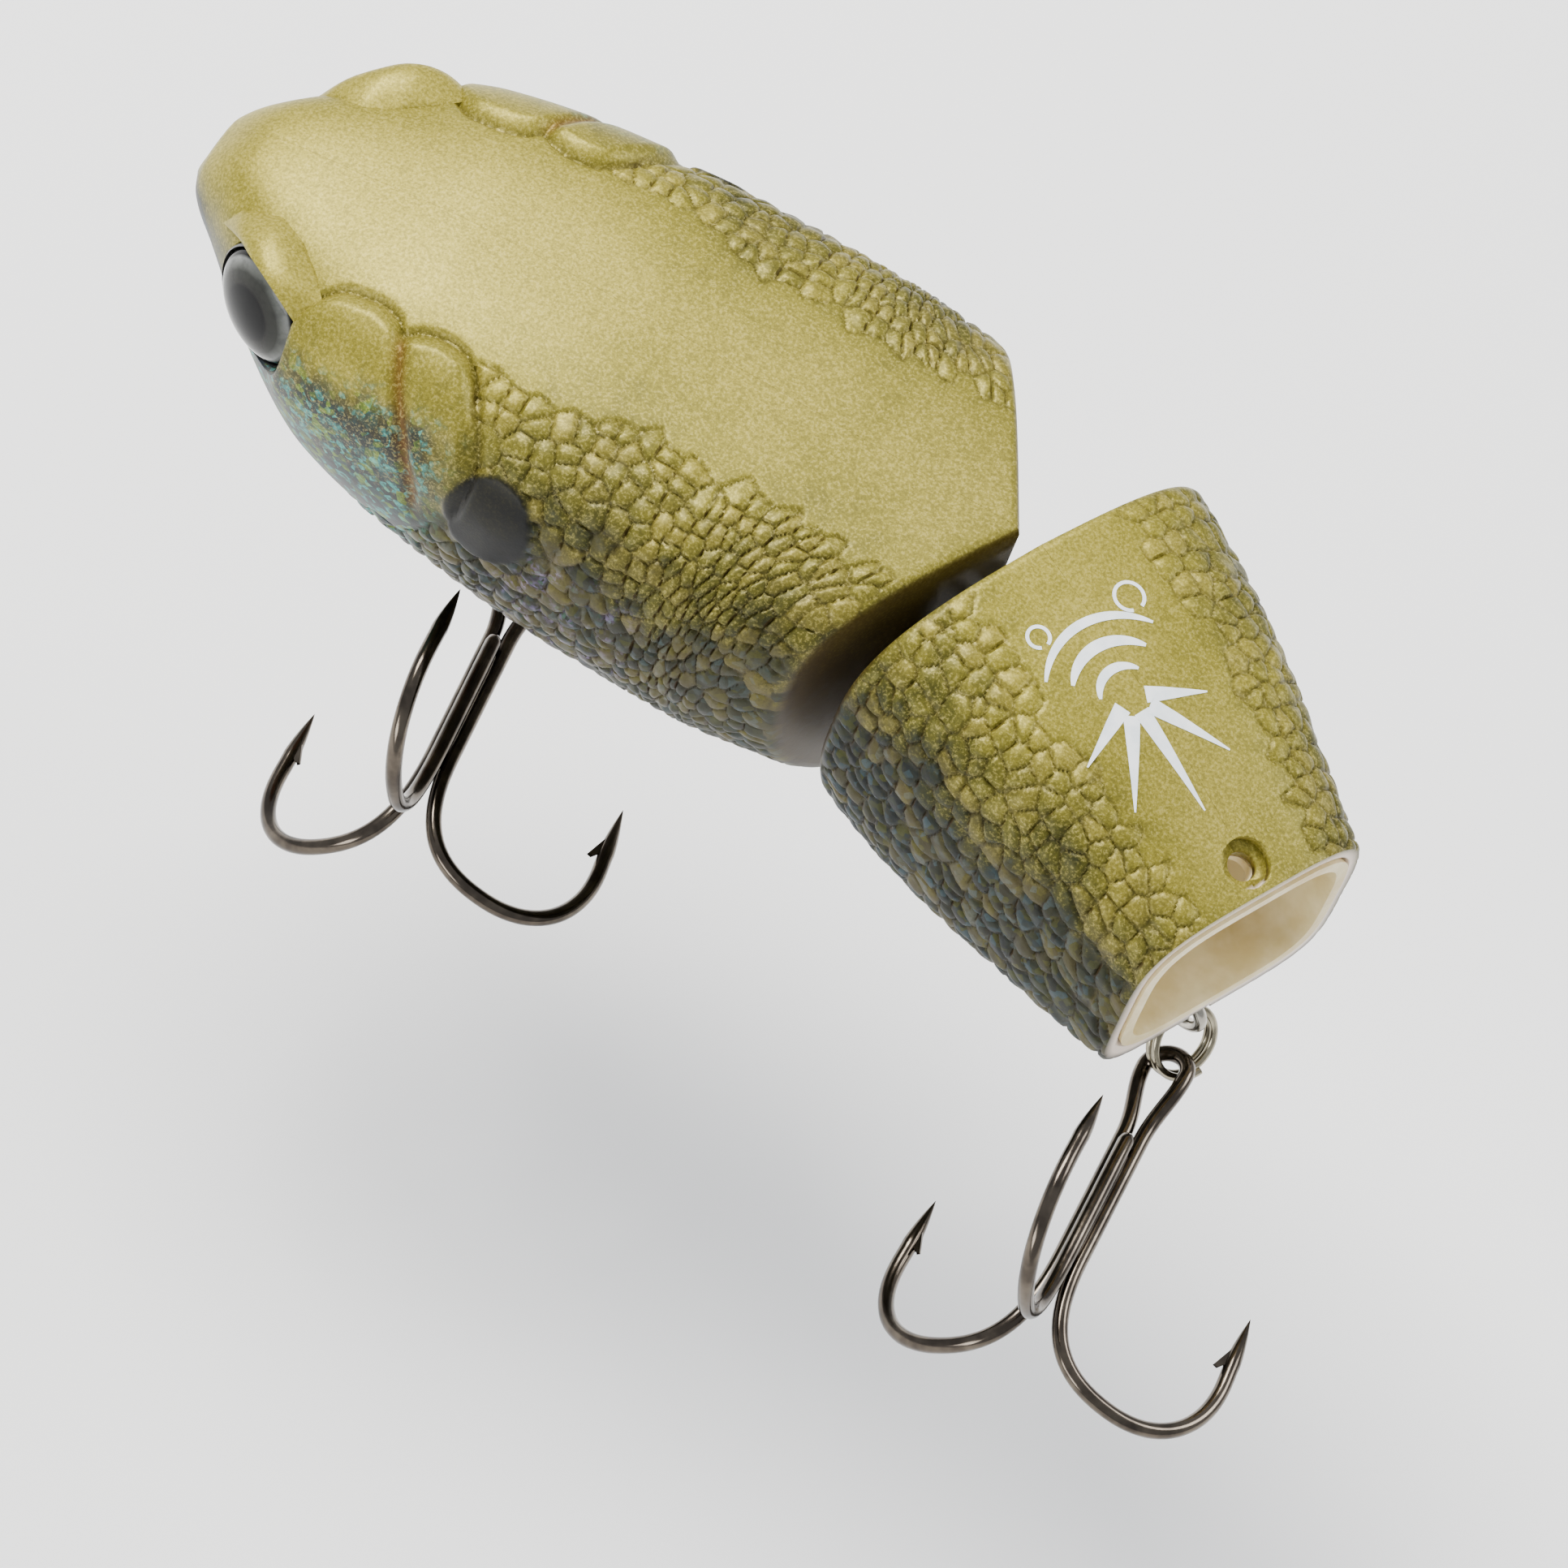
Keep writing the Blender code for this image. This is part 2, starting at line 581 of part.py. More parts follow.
def build_tail(parent, paint, steel, bare, lead):
    """The parent stands on the pivot, so every place here is taken from it."""
    base = Vector((PIVOT_X, 0, 0))
    offset = empty("tail_straight", -base, parent)
    outer = lofted_stations(TAIL_FRONT_X, TAIL_REAR_X, 12)
    chamber = lofted_stations(7.0, 14.5, 4)
    pocket = lofted_stations(17.0, TAIL_REAR_X, 6)
    slot = cutter("tail_hinge_slot", cylinder(
        Vector((PIVOT_X, 0, (HINGE_TOP_Z + HINGE_BOTTOM_Z) / 2)), Vector((0, 0, 1)),
        HINGE_SLOT_RADIUS, HINGE_TOP_Z - HINGE_BOTTOM_Z), offset)
    grooves = [cutter(f"tail_hinge_groove_{k}", cylinder(
        Vector((5.8, 0, z)), Vector((1, 0, 0)), HINGE_WIRE + 0.25, 7.0, 12), offset)
        for k, z in enumerate(TAIL_HINGE_Z)]
    up = TAIL_LINK["hanger_up"].normalized()
    loop_axis = TAIL_LINK["hanger_wire"].cross(up)
    top = TAIL_HANGER + up * (2 * TAIL_LINK["hanger_radius"])
    hanger_groove = cutter("tail_hanger_groove", cylinder(
        Vector((top.x - 5.2, 0, top.z + TAIL_SHANK_RISE)), Vector((1, 0, 0)),
        HANGER_WIRE + 0.35, 11.6, 12), offset)
    relief = cutter("tail_hanger_relief", cylinder(
        TAIL_HANGER + up * TAIL_LINK["hanger_radius"], loop_axis,
        TAIL_LINK["hanger_radius"] + 0.8, 2.0, 20), offset)
    cup_pocket = cutter("cup_pocket", both_loft(CUP_PROFILE, pocket, overshoot=1.0, steps=10), offset)
    roof = TAIL_PROFILE["top"]
    slope = (curve_value(roof, ROOF_HOLE.x + 1) - curve_value(roof, ROOF_HOLE.x - 1)) / 2
    roof_axis = Vector((-slope, 0, 1))
    bore = cutter("roof_bore", cylinder(ROOF_HOLE, roof_axis, ROOF_HOLE_RADIUS, 9.0, 20), offset)
    counterbore = cutter("roof_counterbore", cylinder(
        ROOF_HOLE + roof_axis.normalized() * (2.0 - COUNTERBORE_DEPTH), roof_axis,
        COUNTERBORE_RADIUS, 4.0, 24), offset)
    for side, word in ((-1, "left"), (1, "right")):
        shell = add_object(f"tail_shell_{word}", half_loft(
            TAIL_PROFILE, outer, side, shear=tail_shear), offset, paint, 30)
        hollow = cutter(f"tail_hollow_{word}", half_loft(
            TAIL_PROFILE, chamber, side, inset=WALL, steps=8, seam=-1.0), offset)
        cut(shell, hollow, cup_pocket, slot, *grooves, hanger_groove, relief, bore, counterbore)
    liner = add_object("cup_liner", both_loft(
        CUP_PROFILE, lofted_stations(17.0 + FIT, TAIL_REAR_X, 6), inset=FIT, steps=10), offset, bare, 30)
    inner = cutter("cup_hollow", both_loft(
        CUP_PROFILE, lofted_stations(CUP_FLOOR_X, TAIL_REAR_X, 6), inset=1.2, steps=10,
        overshoot=1.0), offset)
    cut(liner, inner, bore)
    for z, word in zip(TAIL_HINGE_Z, ("upper", "lower")):
        eye = screw_eye_points(Vector((PIVOT_X, 0, z)), Vector((-1, 0, 0)), Vector((0, 1, 0)),
                               HINGE_EYE_RADIUS, 6.0)
        add_object(f"tail_hinge_eye_{word}", even_wire(eye, HINGE_WIRE), offset, steel)
    radius = TAIL_LINK["hanger_radius"]
    loop = screw_eye_points(TAIL_HANGER + up * radius, -up, TAIL_LINK["hanger_wire"], radius, 0.0)
    height = top.z + TAIL_SHANK_RISE
    shank = [Vector((top.x - 9.5, 0, height)), Vector((top.x - 2.8, 0, height)),
             Vector((top.x - 1.1, 0.35 * top.y, top.z + 0.35))]
    add_object("tail_hanger", even_wire(shank + loop[2:], HANGER_WIRE), offset, steel)
    weight = turned([(0, -4.5), (2.3, -4.0), (3.0, -2.5), (3.0, 2.5), (2.3, 4.0), (0, 4.5)],
                    Vector((10.8, 0, -18.5)), Vector((0, 1, 0)), 16)
    add_object("tail_weight", weight, offset, lead)
    return offset


def build_hook(prefix, hanger, link, parent, ring_steel, hook_steel):
    """Ring on the hanger's wire, and treble hook on the ring, each placed at its own joint."""
    ring_joint = empty(f"{prefix}_ring_joint", hanger, parent)
    split_ring(f"{prefix}_split_ring", link, ring_joint, ring_steel)
    hook_joint = empty(f"{prefix}_hook_joint", link["eye"], ring_joint)
    double_hook(f"{prefix}_hook_double", link, hook_joint, hook_steel)
    single_hook(f"{prefix}_hook_single", link, hook_joint, hook_steel)


def main():
    remove_everything()
    paint = material("olive_pearl_paint", (0.42, 0.38, 0.17), 0.42, 0.35)
    steel = material("stainless_wire", (0.62, 0.60, 0.56), 0.25, 1.0)
    ring_steel = material("split_ring_steel", (0.50, 0.48, 0.42), 0.22, 1.0)
    hook_steel = material("black_nickel", (0.10, 0.095, 0.085), 0.18, 1.0)
    iris = material("printed_iris", (0.10, 0.10, 0.10), 0.3)
    lens = material("clear_lens", (0.80, 0.82, 0.82), 0.03, 0.0, 0.3)
    bare = material("bone_plastic", (0.80, 0.70, 0.46), 0.4)
    lead = material("cast_weight", (0.30, 0.30, 0.31), 0.5, 0.6)
    brass = material("rattle_brass", (0.60, 0.45, 0.20), 0.35, 1.0)

    front = empty("front_section", -LINE_TIE)
    pivot = empty("tail_pivot", Vector((PIVOT_X, 0, 0)), front, TAIL_REST_DEG)
    build_front(front, paint, steel, iris, lens, lead, brass)
    build_rattle_ball(empty("rattle_slide", RATTLE, front), steel)
    tail = build_tail(pivot, paint, steel, bare, lead)
    build_hook("belly", BELLY_HANGER, BELLY_LINK, front, ring_steel, hook_steel)
    build_hook("tail", TAIL_HANGER, TAIL_LINK, tail, ring_steel, hook_steel)


main()
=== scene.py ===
"""Looks of a jointed popper lure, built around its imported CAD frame.

Shapes are worked out in millimetres in the lure's own drawing frame: x towards the tail and z up from the top
of the front section's rear edge, with the tail drawn straight. place() moves them into the row frame.
"""

import json
import math

import bpy
import bmesh
import numpy as np
from mathutils import Matrix, Vector
from mathutils.kdtree import KDTree


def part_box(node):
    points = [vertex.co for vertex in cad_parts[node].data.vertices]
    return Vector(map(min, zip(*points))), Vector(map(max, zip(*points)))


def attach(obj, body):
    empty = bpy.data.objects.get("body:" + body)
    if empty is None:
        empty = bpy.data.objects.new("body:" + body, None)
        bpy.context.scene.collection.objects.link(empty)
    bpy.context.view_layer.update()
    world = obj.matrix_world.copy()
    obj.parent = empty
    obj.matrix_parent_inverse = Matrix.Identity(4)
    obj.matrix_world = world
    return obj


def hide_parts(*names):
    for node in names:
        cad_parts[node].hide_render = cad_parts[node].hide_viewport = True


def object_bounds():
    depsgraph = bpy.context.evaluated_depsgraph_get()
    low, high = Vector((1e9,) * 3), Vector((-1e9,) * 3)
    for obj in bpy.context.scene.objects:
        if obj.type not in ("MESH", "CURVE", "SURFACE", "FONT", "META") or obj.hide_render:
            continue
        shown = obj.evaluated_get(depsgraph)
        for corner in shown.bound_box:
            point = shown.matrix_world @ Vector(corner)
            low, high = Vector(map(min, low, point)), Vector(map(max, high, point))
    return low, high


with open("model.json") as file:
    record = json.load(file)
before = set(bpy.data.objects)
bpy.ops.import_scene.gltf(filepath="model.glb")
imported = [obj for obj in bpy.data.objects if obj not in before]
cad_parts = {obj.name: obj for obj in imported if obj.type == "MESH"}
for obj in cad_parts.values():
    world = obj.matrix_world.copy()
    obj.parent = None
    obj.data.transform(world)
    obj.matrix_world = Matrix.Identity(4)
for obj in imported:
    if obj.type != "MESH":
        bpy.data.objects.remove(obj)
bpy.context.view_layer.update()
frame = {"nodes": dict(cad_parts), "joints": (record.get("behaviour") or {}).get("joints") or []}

MM = 0.001
JOINTS = {joint["name"]: joint for joint in frame["joints"]}
PIVOT_X = 1.2                                  # tail hinge behind the front section's rear edge
PIVOT = np.array(JOINTS["tail_swing"]["pos_m"]) / MM
BACK_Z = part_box("front_shell_left")[1].z / MM  # height of the front section's back
SHIFT = np.array([PIVOT[0] - PIVOT_X, 0.0, BACK_Z])
TAIL_REST = math.radians(-25.5)
WEDGE = math.tan(math.radians(28.0))           # sweep of the front section's rear facets
TAIL_FACE = math.tan(math.radians(1.5))
SEAM = 0.008
GRID = 0.2             # spacing of the skins' points
FRONT_SPAN = (-67.2, 0.0)
TAIL_SPAN = (1.6, 31.5)
EDGE_ROUND = 0.8
EYE_CENTER = np.array([-56.4, -10.3, -8.1])    # left eye's disc
EYE_NORMAL = np.array([-0.44, -0.89, 0.10])
EYE_RADIUS = 4.6
EYE_SIDES = 72
SIDES = ((-1, "left"), (1, "right"))
SCALE_SIZE = 1.7                               # mean width of a moulded scale
MISSING_CELLS = 0.12                           # share of scales dropped, so that some are larger
FLAP_CENTER = (-33.8, 21.3)                    # dark ear flap, as x and s
FLAP_RADII = (3.7, 4.6)
HINGE_SLOT = ((PIVOT_X, 0, -17.5), (0, 0, 1), 2.7, 21.0)    # room for the hinge: middle, axis, radius, length
HOOK_WIRE = 0.62
EYE_WIRE = 0.5                                 # radius of the screw eyes' wire
EYE_TURN = 0.86                                # how far round a screw eye's wire goes
RING_RADIUS = 2.75
RING_WIRE = 0.33
RING_PITCH = 0.71

FRONT_PROFILE = {
    "top": [(-67.2, -11.4), (-66.2, -7.3), (-62.5, -4.0), (-55, -2.4), (-45, -0.6), (-30, 0), (0, 0)],
    "mid": [(-67.2, -11.9), (-66.2, -10.0), (-60, -8.9), (-45, -11), (-25, -11), (0, -10.8)],
    "low": [(-67.2, -12.5), (-66.2, -14.3), (-62.5, -19.1), (-55, -26.2), (-45, -30.4), (-32, -32.4),
            (-16, -32.4), (0, -30.5)],
    "wide": [(-67.2, 0.8), (-66.2, 3.2), (-63.5, 5.7), (-58, 10.6), (-50, 15.2), (-40, 16.8), (-25, 18.0),
             (-10, 17.8), (0, 16.8)],
    "shoulder": [(-67.2, 2.8), (-60, 2.5), (-40, 3.2), (0, 3.5)],
    "keel": [(-67.2, 1.8), (-60, 1.7), (-40, 1.8), (0, 2.0)],
}
TAIL_PROFILE = {
    "top": [(1.6, 0), (15, -1.4), (31.5, -6.0)],
    "mid": [(1.6, -12), (31.5, -15.0)],
    "low": [(1.6, -30.5), (12, -29.2), (24, -26.3), (31.5, -24.2)],
    "wide": [(1.6, 17.0), (10, 15.8), (31.5, 10.7)],
    "shoulder": [(1.6, 3.2), (31.5, 3.6)],
    "keel": [(1.6, 2.2), (20, 3.2), (31.5, 5.0)],
}
CUP_PROFILE = {
    "top": [(17.0, -8.2), (24, -7.4), (31.5, -6.8)],
    "mid": [(17.0, -15.0), (31.5, -15.0)],
    "low": [(17.0, -21.8), (24, -22.4), (31.5, -22.9)],
    "wide": [(17.0, 7.6), (24, 9.0), (31.5, 9.9)],
    "shoulder": [(17.0, 3.2), (31.5, 3.8)],
    "keel": [(17.0, 3.2), (31.5, 4.6)],
}

# Features on the skins: x along the body and s, the distance round it from the middle of the back.
# The two that run down the flank (the gill's rear edge and slit) are given as (s, x), the rest as (x, s).
FRONT_SCALE_LINE = [(-67, 10.2), (-42, 10.2), (-35, 10.1), (-29, 9.4), (-22, 9.2), (-15, 9.1), (0, 9.5)]
TAIL_SCALE_LINE = [(1.6, 7.8), (10, 7.2), (15, 8.0), (24, 6.8), (31.5, 6.0)]
GILL_TOP = [(-54, 13.5), (-52.6, 10.6), (-50.9, 9.4), (-48.6, 9.3), (-46.6, 9.9), (-45.7, 10.8), (-44.6, 10.1),
            (-42.8, 9.7), (-41.0, 10.0), (-39.4, 11.6), (-38.4, 13.0)]
GILL_REAR = [(9, -41.2), (11.7, -39.2), (15.3, -37.0), (18, -36.0), (22, -36.2), (27, -38.5), (32, -43),
             (37, -50)]
GILL_SLIT = [(10.5, -45.9), (13.9, -44.2), (17.5, -42.0), (23.3, -40.0), (27, -39.6)]
BROW_EDGE = [(-62.6, 8.2), (-61.3, 6.4), (-58.2, 6.0), (-55.8, 7.3), (-53.7, 9.2), (-52.3, 10.9), (-51.3, 12.8)]


def curve_value(points, x):
    """Smooth curve through (x, value) points that never overshoots them, for an array of x."""
    px = np.array([p[0] for p in points], float)
    py = np.array([p[1] for p in points], float)
    grade = np.diff(py) / np.diff(px)
    slope = np.empty(len(px))
    slope[0], slope[-1] = grade[0], grade[-1]
    for k in range(1, len(px) - 1):
        rise = grade[k - 1] * grade[k]
        slope[k] = 2 * rise / (grade[k - 1] + grade[k]) if rise > 0 else 0.0
    x = np.clip(x, px[0], px[-1])
    i = np.clip(np.searchsorted(px, x, side="right") - 1, 0, len(px) - 2)
    width = px[i + 1] - px[i]
    t = (x - px[i]) / width
    return (py[i] + (py[i + 1] - py[i]) * (3 * t ** 2 - 2 * t ** 3)
            + (t ** 3 - 2 * t ** 2 + t) * slope[i] * width + (t ** 3 - t ** 2) * slope[i + 1] * width)


def ease(value):
    value = np.clip(value, 0.0, 1.0)
    return value * value * (3 - 2 * value)


def section_point(profile, x, t, inset):
    """Half-section points: t runs from the back (0) down the flank to the keel (1)."""
    top = curve_value(profile["top"], x) - inset
    mid = curve_value(profile["mid"], x)
    low = curve_value(profile["low"], x) + inset
    wide = curve_value(profile["wide"], x) - inset
    upper = t <= 0.5
    angle = np.where(upper, np.pi * t, np.pi * (t - 0.5))
    sine, cosine = np.sin(angle), np.clip(np.cos(angle), 0, 1)
    shoulder = 2 / curve_value(profile["shoulder"], x)
    keel = 2 / curve_value(profile["keel"], x)
    y = np.where(upper, wide * sine ** shoulder, wide * cosine ** keel)
    z = np.where(upper, mid + (top - mid) * cosine ** shoulder, mid + (low - mid) * sine ** keel)
    return y, z


def even_section(profile, x, count, inset=0.0):
    """One half-section with evenly spaced points: y, z and s, the distance from the back's middle."""
    fine = np.linspace(0, 1, 500)
    y, z = section_point(profile, np.full_like(fine, x), fine, inset)
    s = np.concatenate([[0], np.cumsum(np.hypot(np.diff(y), np.diff(z)))])
    target = np.linspace(0, s[-1], count)
    return np.interp(target, s, y), np.interp(target, s, z), target


def shear(x, y, tail):
    if tail:
        return TAIL_FACE * np.abs(y) * ease((20.0 - x) / 18.0)
    return -WEDGE * np.abs(y) * ease((x + 24.0) / 24.0)


def place(points, tail=False):
    """Drawing frame to row frame, in metres; the tail is swung to its resting angle."""
    points = np.array(points, float).reshape(-1, 3).copy()
    if tail:
        turned = points - [PIVOT_X, 0, 0]
        cosine, sine = math.cos(TAIL_REST), math.sin(TAIL_REST)
        points = np.stack([turned[:, 0] * cosine - turned[:, 1] * sine + PIVOT_X,
                           turned[:, 0] * sine + turned[:, 1] * cosine, points[:, 2]], 1)
    return (points + SHIFT) * MM


def scatter_cells(u, v, size, seed):
    """Distances to the nearest and second nearest of jittered seeds, the seeds' places, and a value per seed."""
    rng = np.random.default_rng(seed)
    low_u, low_v = u.min() - 3 * size, v.min() - 3 * size
    nu = int((u.max() - low_u) / size) + 5
    nv = int((v.max() - low_v) / size) + 5
    jitter = rng.uniform(0.12, 0.88, (nu, nv, 2))
    value = rng.uniform(0, 1, (nu, nv))
    seed_u = low_u + (np.arange(nu)[:, None] + jitter[..., 0]) * size
    seed_v = low_v + (np.arange(nv)[None, :] + jitter[..., 1]) * size
    seed_u = np.where(rng.uniform(0, 1, (nu, nv)) < MISSING_CELLS, 1e6, seed_u)
    iu = ((u - low_u) / size).astype(int)
    iv = ((v - low_v) / size).astype(int)
    near = np.full(u.shape, 1e9)
    second = near.copy()
    best = np.zeros(u.shape + (2,))
    next_best = best.copy()
    shade = np.zeros(u.shape)
    for du in range(-2, 3):
        for dv in range(-2, 3):
            a = np.clip(iu + du, 0, nu - 1)
            b = np.clip(iv + dv, 0, nv - 1)
            su, sv = seed_u[a, b], seed_v[a, b]
            d = np.hypot(u - su, v - sv)
            closer = d < near
            middle = ~closer & (d < second)
            second = np.where(closer, near, np.where(middle, d, second))
            next_best = np.where(closer[..., None], best,
                                 np.where(middle[..., None], np.stack([su, sv], -1), next_best))
            best = np.where(closer[..., None], np.stack([su, sv], -1), best)
            shade = np.where(closer, value[a, b], shade)
            near = np.where(closer, d, near)
    return near, second, best, next_best, shade


def in_scale_zone(x, s, tail):
    if tail:
        return s > curve_value(TAIL_SCALE_LINE, x)
    behind_gill = x > curve_value(GILL_REAR, s) + 0.4
    return (s > curve_value(FRONT_SCALE_LINE, x)) & behind_gill


def scale_relief(x, s, tail):
    """Height of the moulded scales and the masks that go with them."""
    near, second, home, other, shade = scatter_cells(x, s, SCALE_SIZE, 11 if tail else 7)
    inside = in_scale_zone(home[..., 0], home[..., 1], tail)
    beside = in_scale_zone(other[..., 0], other[..., 1], tail)
    edge = 1 - ease((second - near) / 0.38)
    groove = edge * np.where(inside & beside, 1.0, np.where(inside | beside, 0.75, 0.0))
    tilt = ((x - home[..., 0]) * 0.5 + (s - home[..., 1]) * 0.85) / SCALE_SIZE
    dome = 1 - ease(near / (0.75 * SCALE_SIZE))
    height = np.where(inside, 0.17 * dome + 0.10 * np.clip(tilt, -0.6, 0.6), 0.0) - 0.20 * groove
    return height, groove, np.where(inside, shade, 0.5), inside.astype(float)


def gill_relief(x, s):
    """The two puffed gill plates, the creases along their edges and the slit between them."""
    below_top = s - curve_value(GILL_TOP, x)
    ahead_of_rear = curve_value(GILL_REAR, s) - x
    within_x = ease((x + 54.5) / 2.0)
    rim = np.minimum(below_top, ahead_of_rear * 0.9)
    span = (x > -54.5) & (x < -38.0)
    plate = ease(rim / 1.5) * np.where(x < -38.0, 1.0, ease(ahead_of_rear / 1.5))
    fade = 1 - ease((s - 16.0) / 9.0)
    height = 0.75 * plate * fade * within_x
    crease = np.exp(-(below_top / 0.34) ** 2) * span * (s < 16)
    crease = np.maximum(crease, np.exp(-(ahead_of_rear / 0.38) ** 2) * (s > 10.5) * (1 - ease((s - 20) / 10)))
    slit_x = curve_value(GILL_SLIT, s)
    slit = np.exp(-((x - slit_x) / 0.55) ** 2) * ease((s - 10.4) / 1.5) * (1 - ease((s - 23) / 4.0))
    height = height - 0.35 * crease - 0.4 * slit
    return height, slit, crease


def build_grid(profile, span, tail):
    """Points of one side's skin before it is moved out of the straight: arrays over x stations and girth."""
    count_x = max(12, int((span[1] - span[0]) / GRID))
    girth = even_section(profile, (span[0] + span[1]) / 2, 8)[2][-1]
    count_s = int(girth / GRID)
    step = np.linspace(0, 1, count_x)
    if not tail:
        step = step ** 1.12
    stations = span[0] + (span[1] - span[0]) * step
    y = np.empty((count_x, count_s))
    z = y.copy()
    s = y.copy()
    for k, x in enumerate(stations):
        y[k], z[k], s[k] = even_section(profile, x, count_s)
    x = np.repeat(stations[:, None], count_s, 1)
    return x, y, z, s


def grid_normals(x, y, z):
    points = np.stack([x, y, z], -1)
    normal = np.cross(np.gradient(points, axis=1), np.gradient(points, axis=0))
    normal /= np.linalg.norm(normal, axis=-1, keepdims=True) + 1e-12
    middle = points - np.array([0, 0, -14.0])
    middle[..., 0] = 0
    flip = np.sign((normal * middle).sum(-1).mean())
    return normal * flip


def new_object(name, mesh_data):
    made = bpy.data.objects.new(name, mesh_data)
    bpy.context.scene.collection.objects.link(made)
    return made


def closed_mesh(name, points, faces, smooth_angle):
    """Mesh with outward normals, smooth but for edges sharper than the angle."""
    data = bpy.data.meshes.new(name)
    data.from_pydata([tuple(p) for p in points], [], faces)
    data.update()
    mesh = bmesh.new()
    mesh.from_mesh(data)
    bmesh.ops.recalc_face_normals(mesh, faces=mesh.faces)
    mesh.to_mesh(data)
    mesh.free()
    data.shade_smooth()
    data.set_sharp_from_angle(angle=math.radians(smooth_angle))
    return data


def mesh_object(name, points, faces, smooth_angle=35.0):
    return new_object(name, closed_mesh(name, points, faces, smooth_angle))


def apply_modifiers(item):
    graph = bpy.context.evaluated_depsgraph_get()
    data = bpy.data.meshes.new_from_object(item.evaluated_get(graph))
    old = item.data
    item.modifiers.clear()
    item.data = data
    bpy.data.meshes.remove(old)


def subtract(target, *tools):
    for tool in tools:
        step = target.modifiers.new(tool.name, "BOOLEAN")
        step.operation = "DIFFERENCE"
        step.solver = "MANIFOLD"
        step.object = tool
    bpy.context.view_layer.update()
    apply_modifiers(target)


def store_masks(item, points, masks):
    """Copy the skin's masks to the cut mesh, from each vertex's nearest skin point."""
    tree = KDTree(len(points))
    for k, point in enumerate(points):
        tree.insert(point, k)
    tree.balance()
    found = np.array([tree.find(v.co)[1] for v in item.data.vertices])
    for name, values in masks.items():
        layer = item.data.color_attributes.new(name, "FLOAT_COLOR", "POINT")
        layer.data.foreach_set("color", np.ascontiguousarray(values[found], np.float32).ravel())


def half_skin(name, profile, span, tail, side):
    """Closed half of a section with its moulded relief, and the masks that its paint reads."""
    x, y, z, s = build_grid(profile, span, tail)
    normal = grid_normals(x, y, z)
    height, groove, shade, scaled = scale_relief(x, s, tail)
    flap = np.zeros_like(x)
    slit = np.zeros_like(x)
    crease = np.zeros_like(x)
    if not tail:
        gill_height, slit, crease = gill_relief(x, s)
        reach = np.hypot((x - FLAP_CENTER[0]) / FLAP_RADII[0], (s - FLAP_CENTER[1]) / FLAP_RADII[1])
        flap = 1 - ease((reach - 0.9) / 0.14)
        height = height * (1 - flap) + gill_height + 0.45 * flap * (1 - 0.4 * reach)
        groove = groove * (1 - flap)
    ends = (span[1] - x) if not tail else np.minimum(x - span[0], (span[1] - x) * 2.5)
    near_end = np.clip(1 - ends / EDGE_ROUND, 0, 1)
    height = height * ease((ends - 0.2) / 1.2)
    if not tail:
        height = height * ease((x - span[0] - 1.0) / 3.0)
    height = height * ease((y - SEAM) / 0.6) * ease((s[:, -1:] - s) / 6.0)
    height = height - EDGE_ROUND * (1 - np.sqrt(np.clip(1 - near_end ** 2, 0, 1)))
    x2 = x + normal[..., 0] * height
    y2 = np.maximum(y + normal[..., 1] * height, SEAM)
    z2 = z + normal[..., 2] * height
    if tail:
        x2 = np.clip(x2, span[0], span[1])
    else:
        x2 = np.minimum(x2, span[1])
    y2[:, 0] = SEAM
    y2[:, -1] = SEAM
    x3 = x2 + shear(x, y2, tail)
    points = place(np.stack([x3, side * y2, z2], -1), tail)
    rows, columns = x.shape
    index = np.arange(rows * columns).reshape(rows, columns)
    quads = np.stack([index[:-1, :-1], index[1:, :-1], index[1:, 1:], index[:-1, 1:]], -1).reshape(-1, 4)
    seam = np.stack([index[:-1, 0], index[:-1, -1], index[1:, -1], index[1:, 0]], -1)
    faces = quads.tolist() + seam.tolist() + [index[0].tolist(), index[-1].tolist()]
    item = mesh_object(name, points, faces)
    total = s[:, -1:]
    rim = ease((x - TAIL_SPAN[1] + 0.12) / 0.1) if tail else np.zeros_like(x)
    masks = {
        "relief": np.stack([s / total, groove, shade, scaled * (1 - flap)], -1).reshape(-1, 4),
        "flap": np.stack([flap, flap, flap, flap], -1).reshape(-1, 4),
        "marks": np.stack([slit, crease, rim, s / 40.0], -1).reshape(-1, 4),
    }
    return item, points, masks


def both_loft(name, profile, span, count, inset=0.0, overshoot=0.0, girth=64):
    """Closed full-width body in the tail's frame."""
    stations = np.linspace(span[0], span[1], count)
    rings = []
    for k, x in enumerate(stations):
        y, z, _ = even_section(profile, x, girth, inset)
        place_x = x + (overshoot if k == count - 1 else 0.0)
        ring_y = np.concatenate([y, -y[-2:0:-1]])
        ring_z = np.concatenate([z, z[-2:0:-1]])
        rings.append(np.stack([np.full_like(ring_y, place_x), ring_y, ring_z], -1))
    points = place(np.concatenate(rings), True)
    return ring_body(name, points, count, len(rings[0]))


def ring_quads(index):
    """Faces between each ring of points and the next."""
    onward = np.roll(index, -1, axis=1)
    return np.stack([index[:-1], index[1:], onward[1:], onward[:-1]], -1).reshape(-1, 4).tolist()


def ring_body(name, points, rings, sides, smooth_angle=35.0):
    """Closed body from a run of rings with the same number of points, capped at both ends."""
    index = np.arange(rings * sides).reshape(rings, sides)
    return mesh_object(name, points, ring_quads(index) + [index[0].tolist(), index[-1].tolist()], smooth_angle)


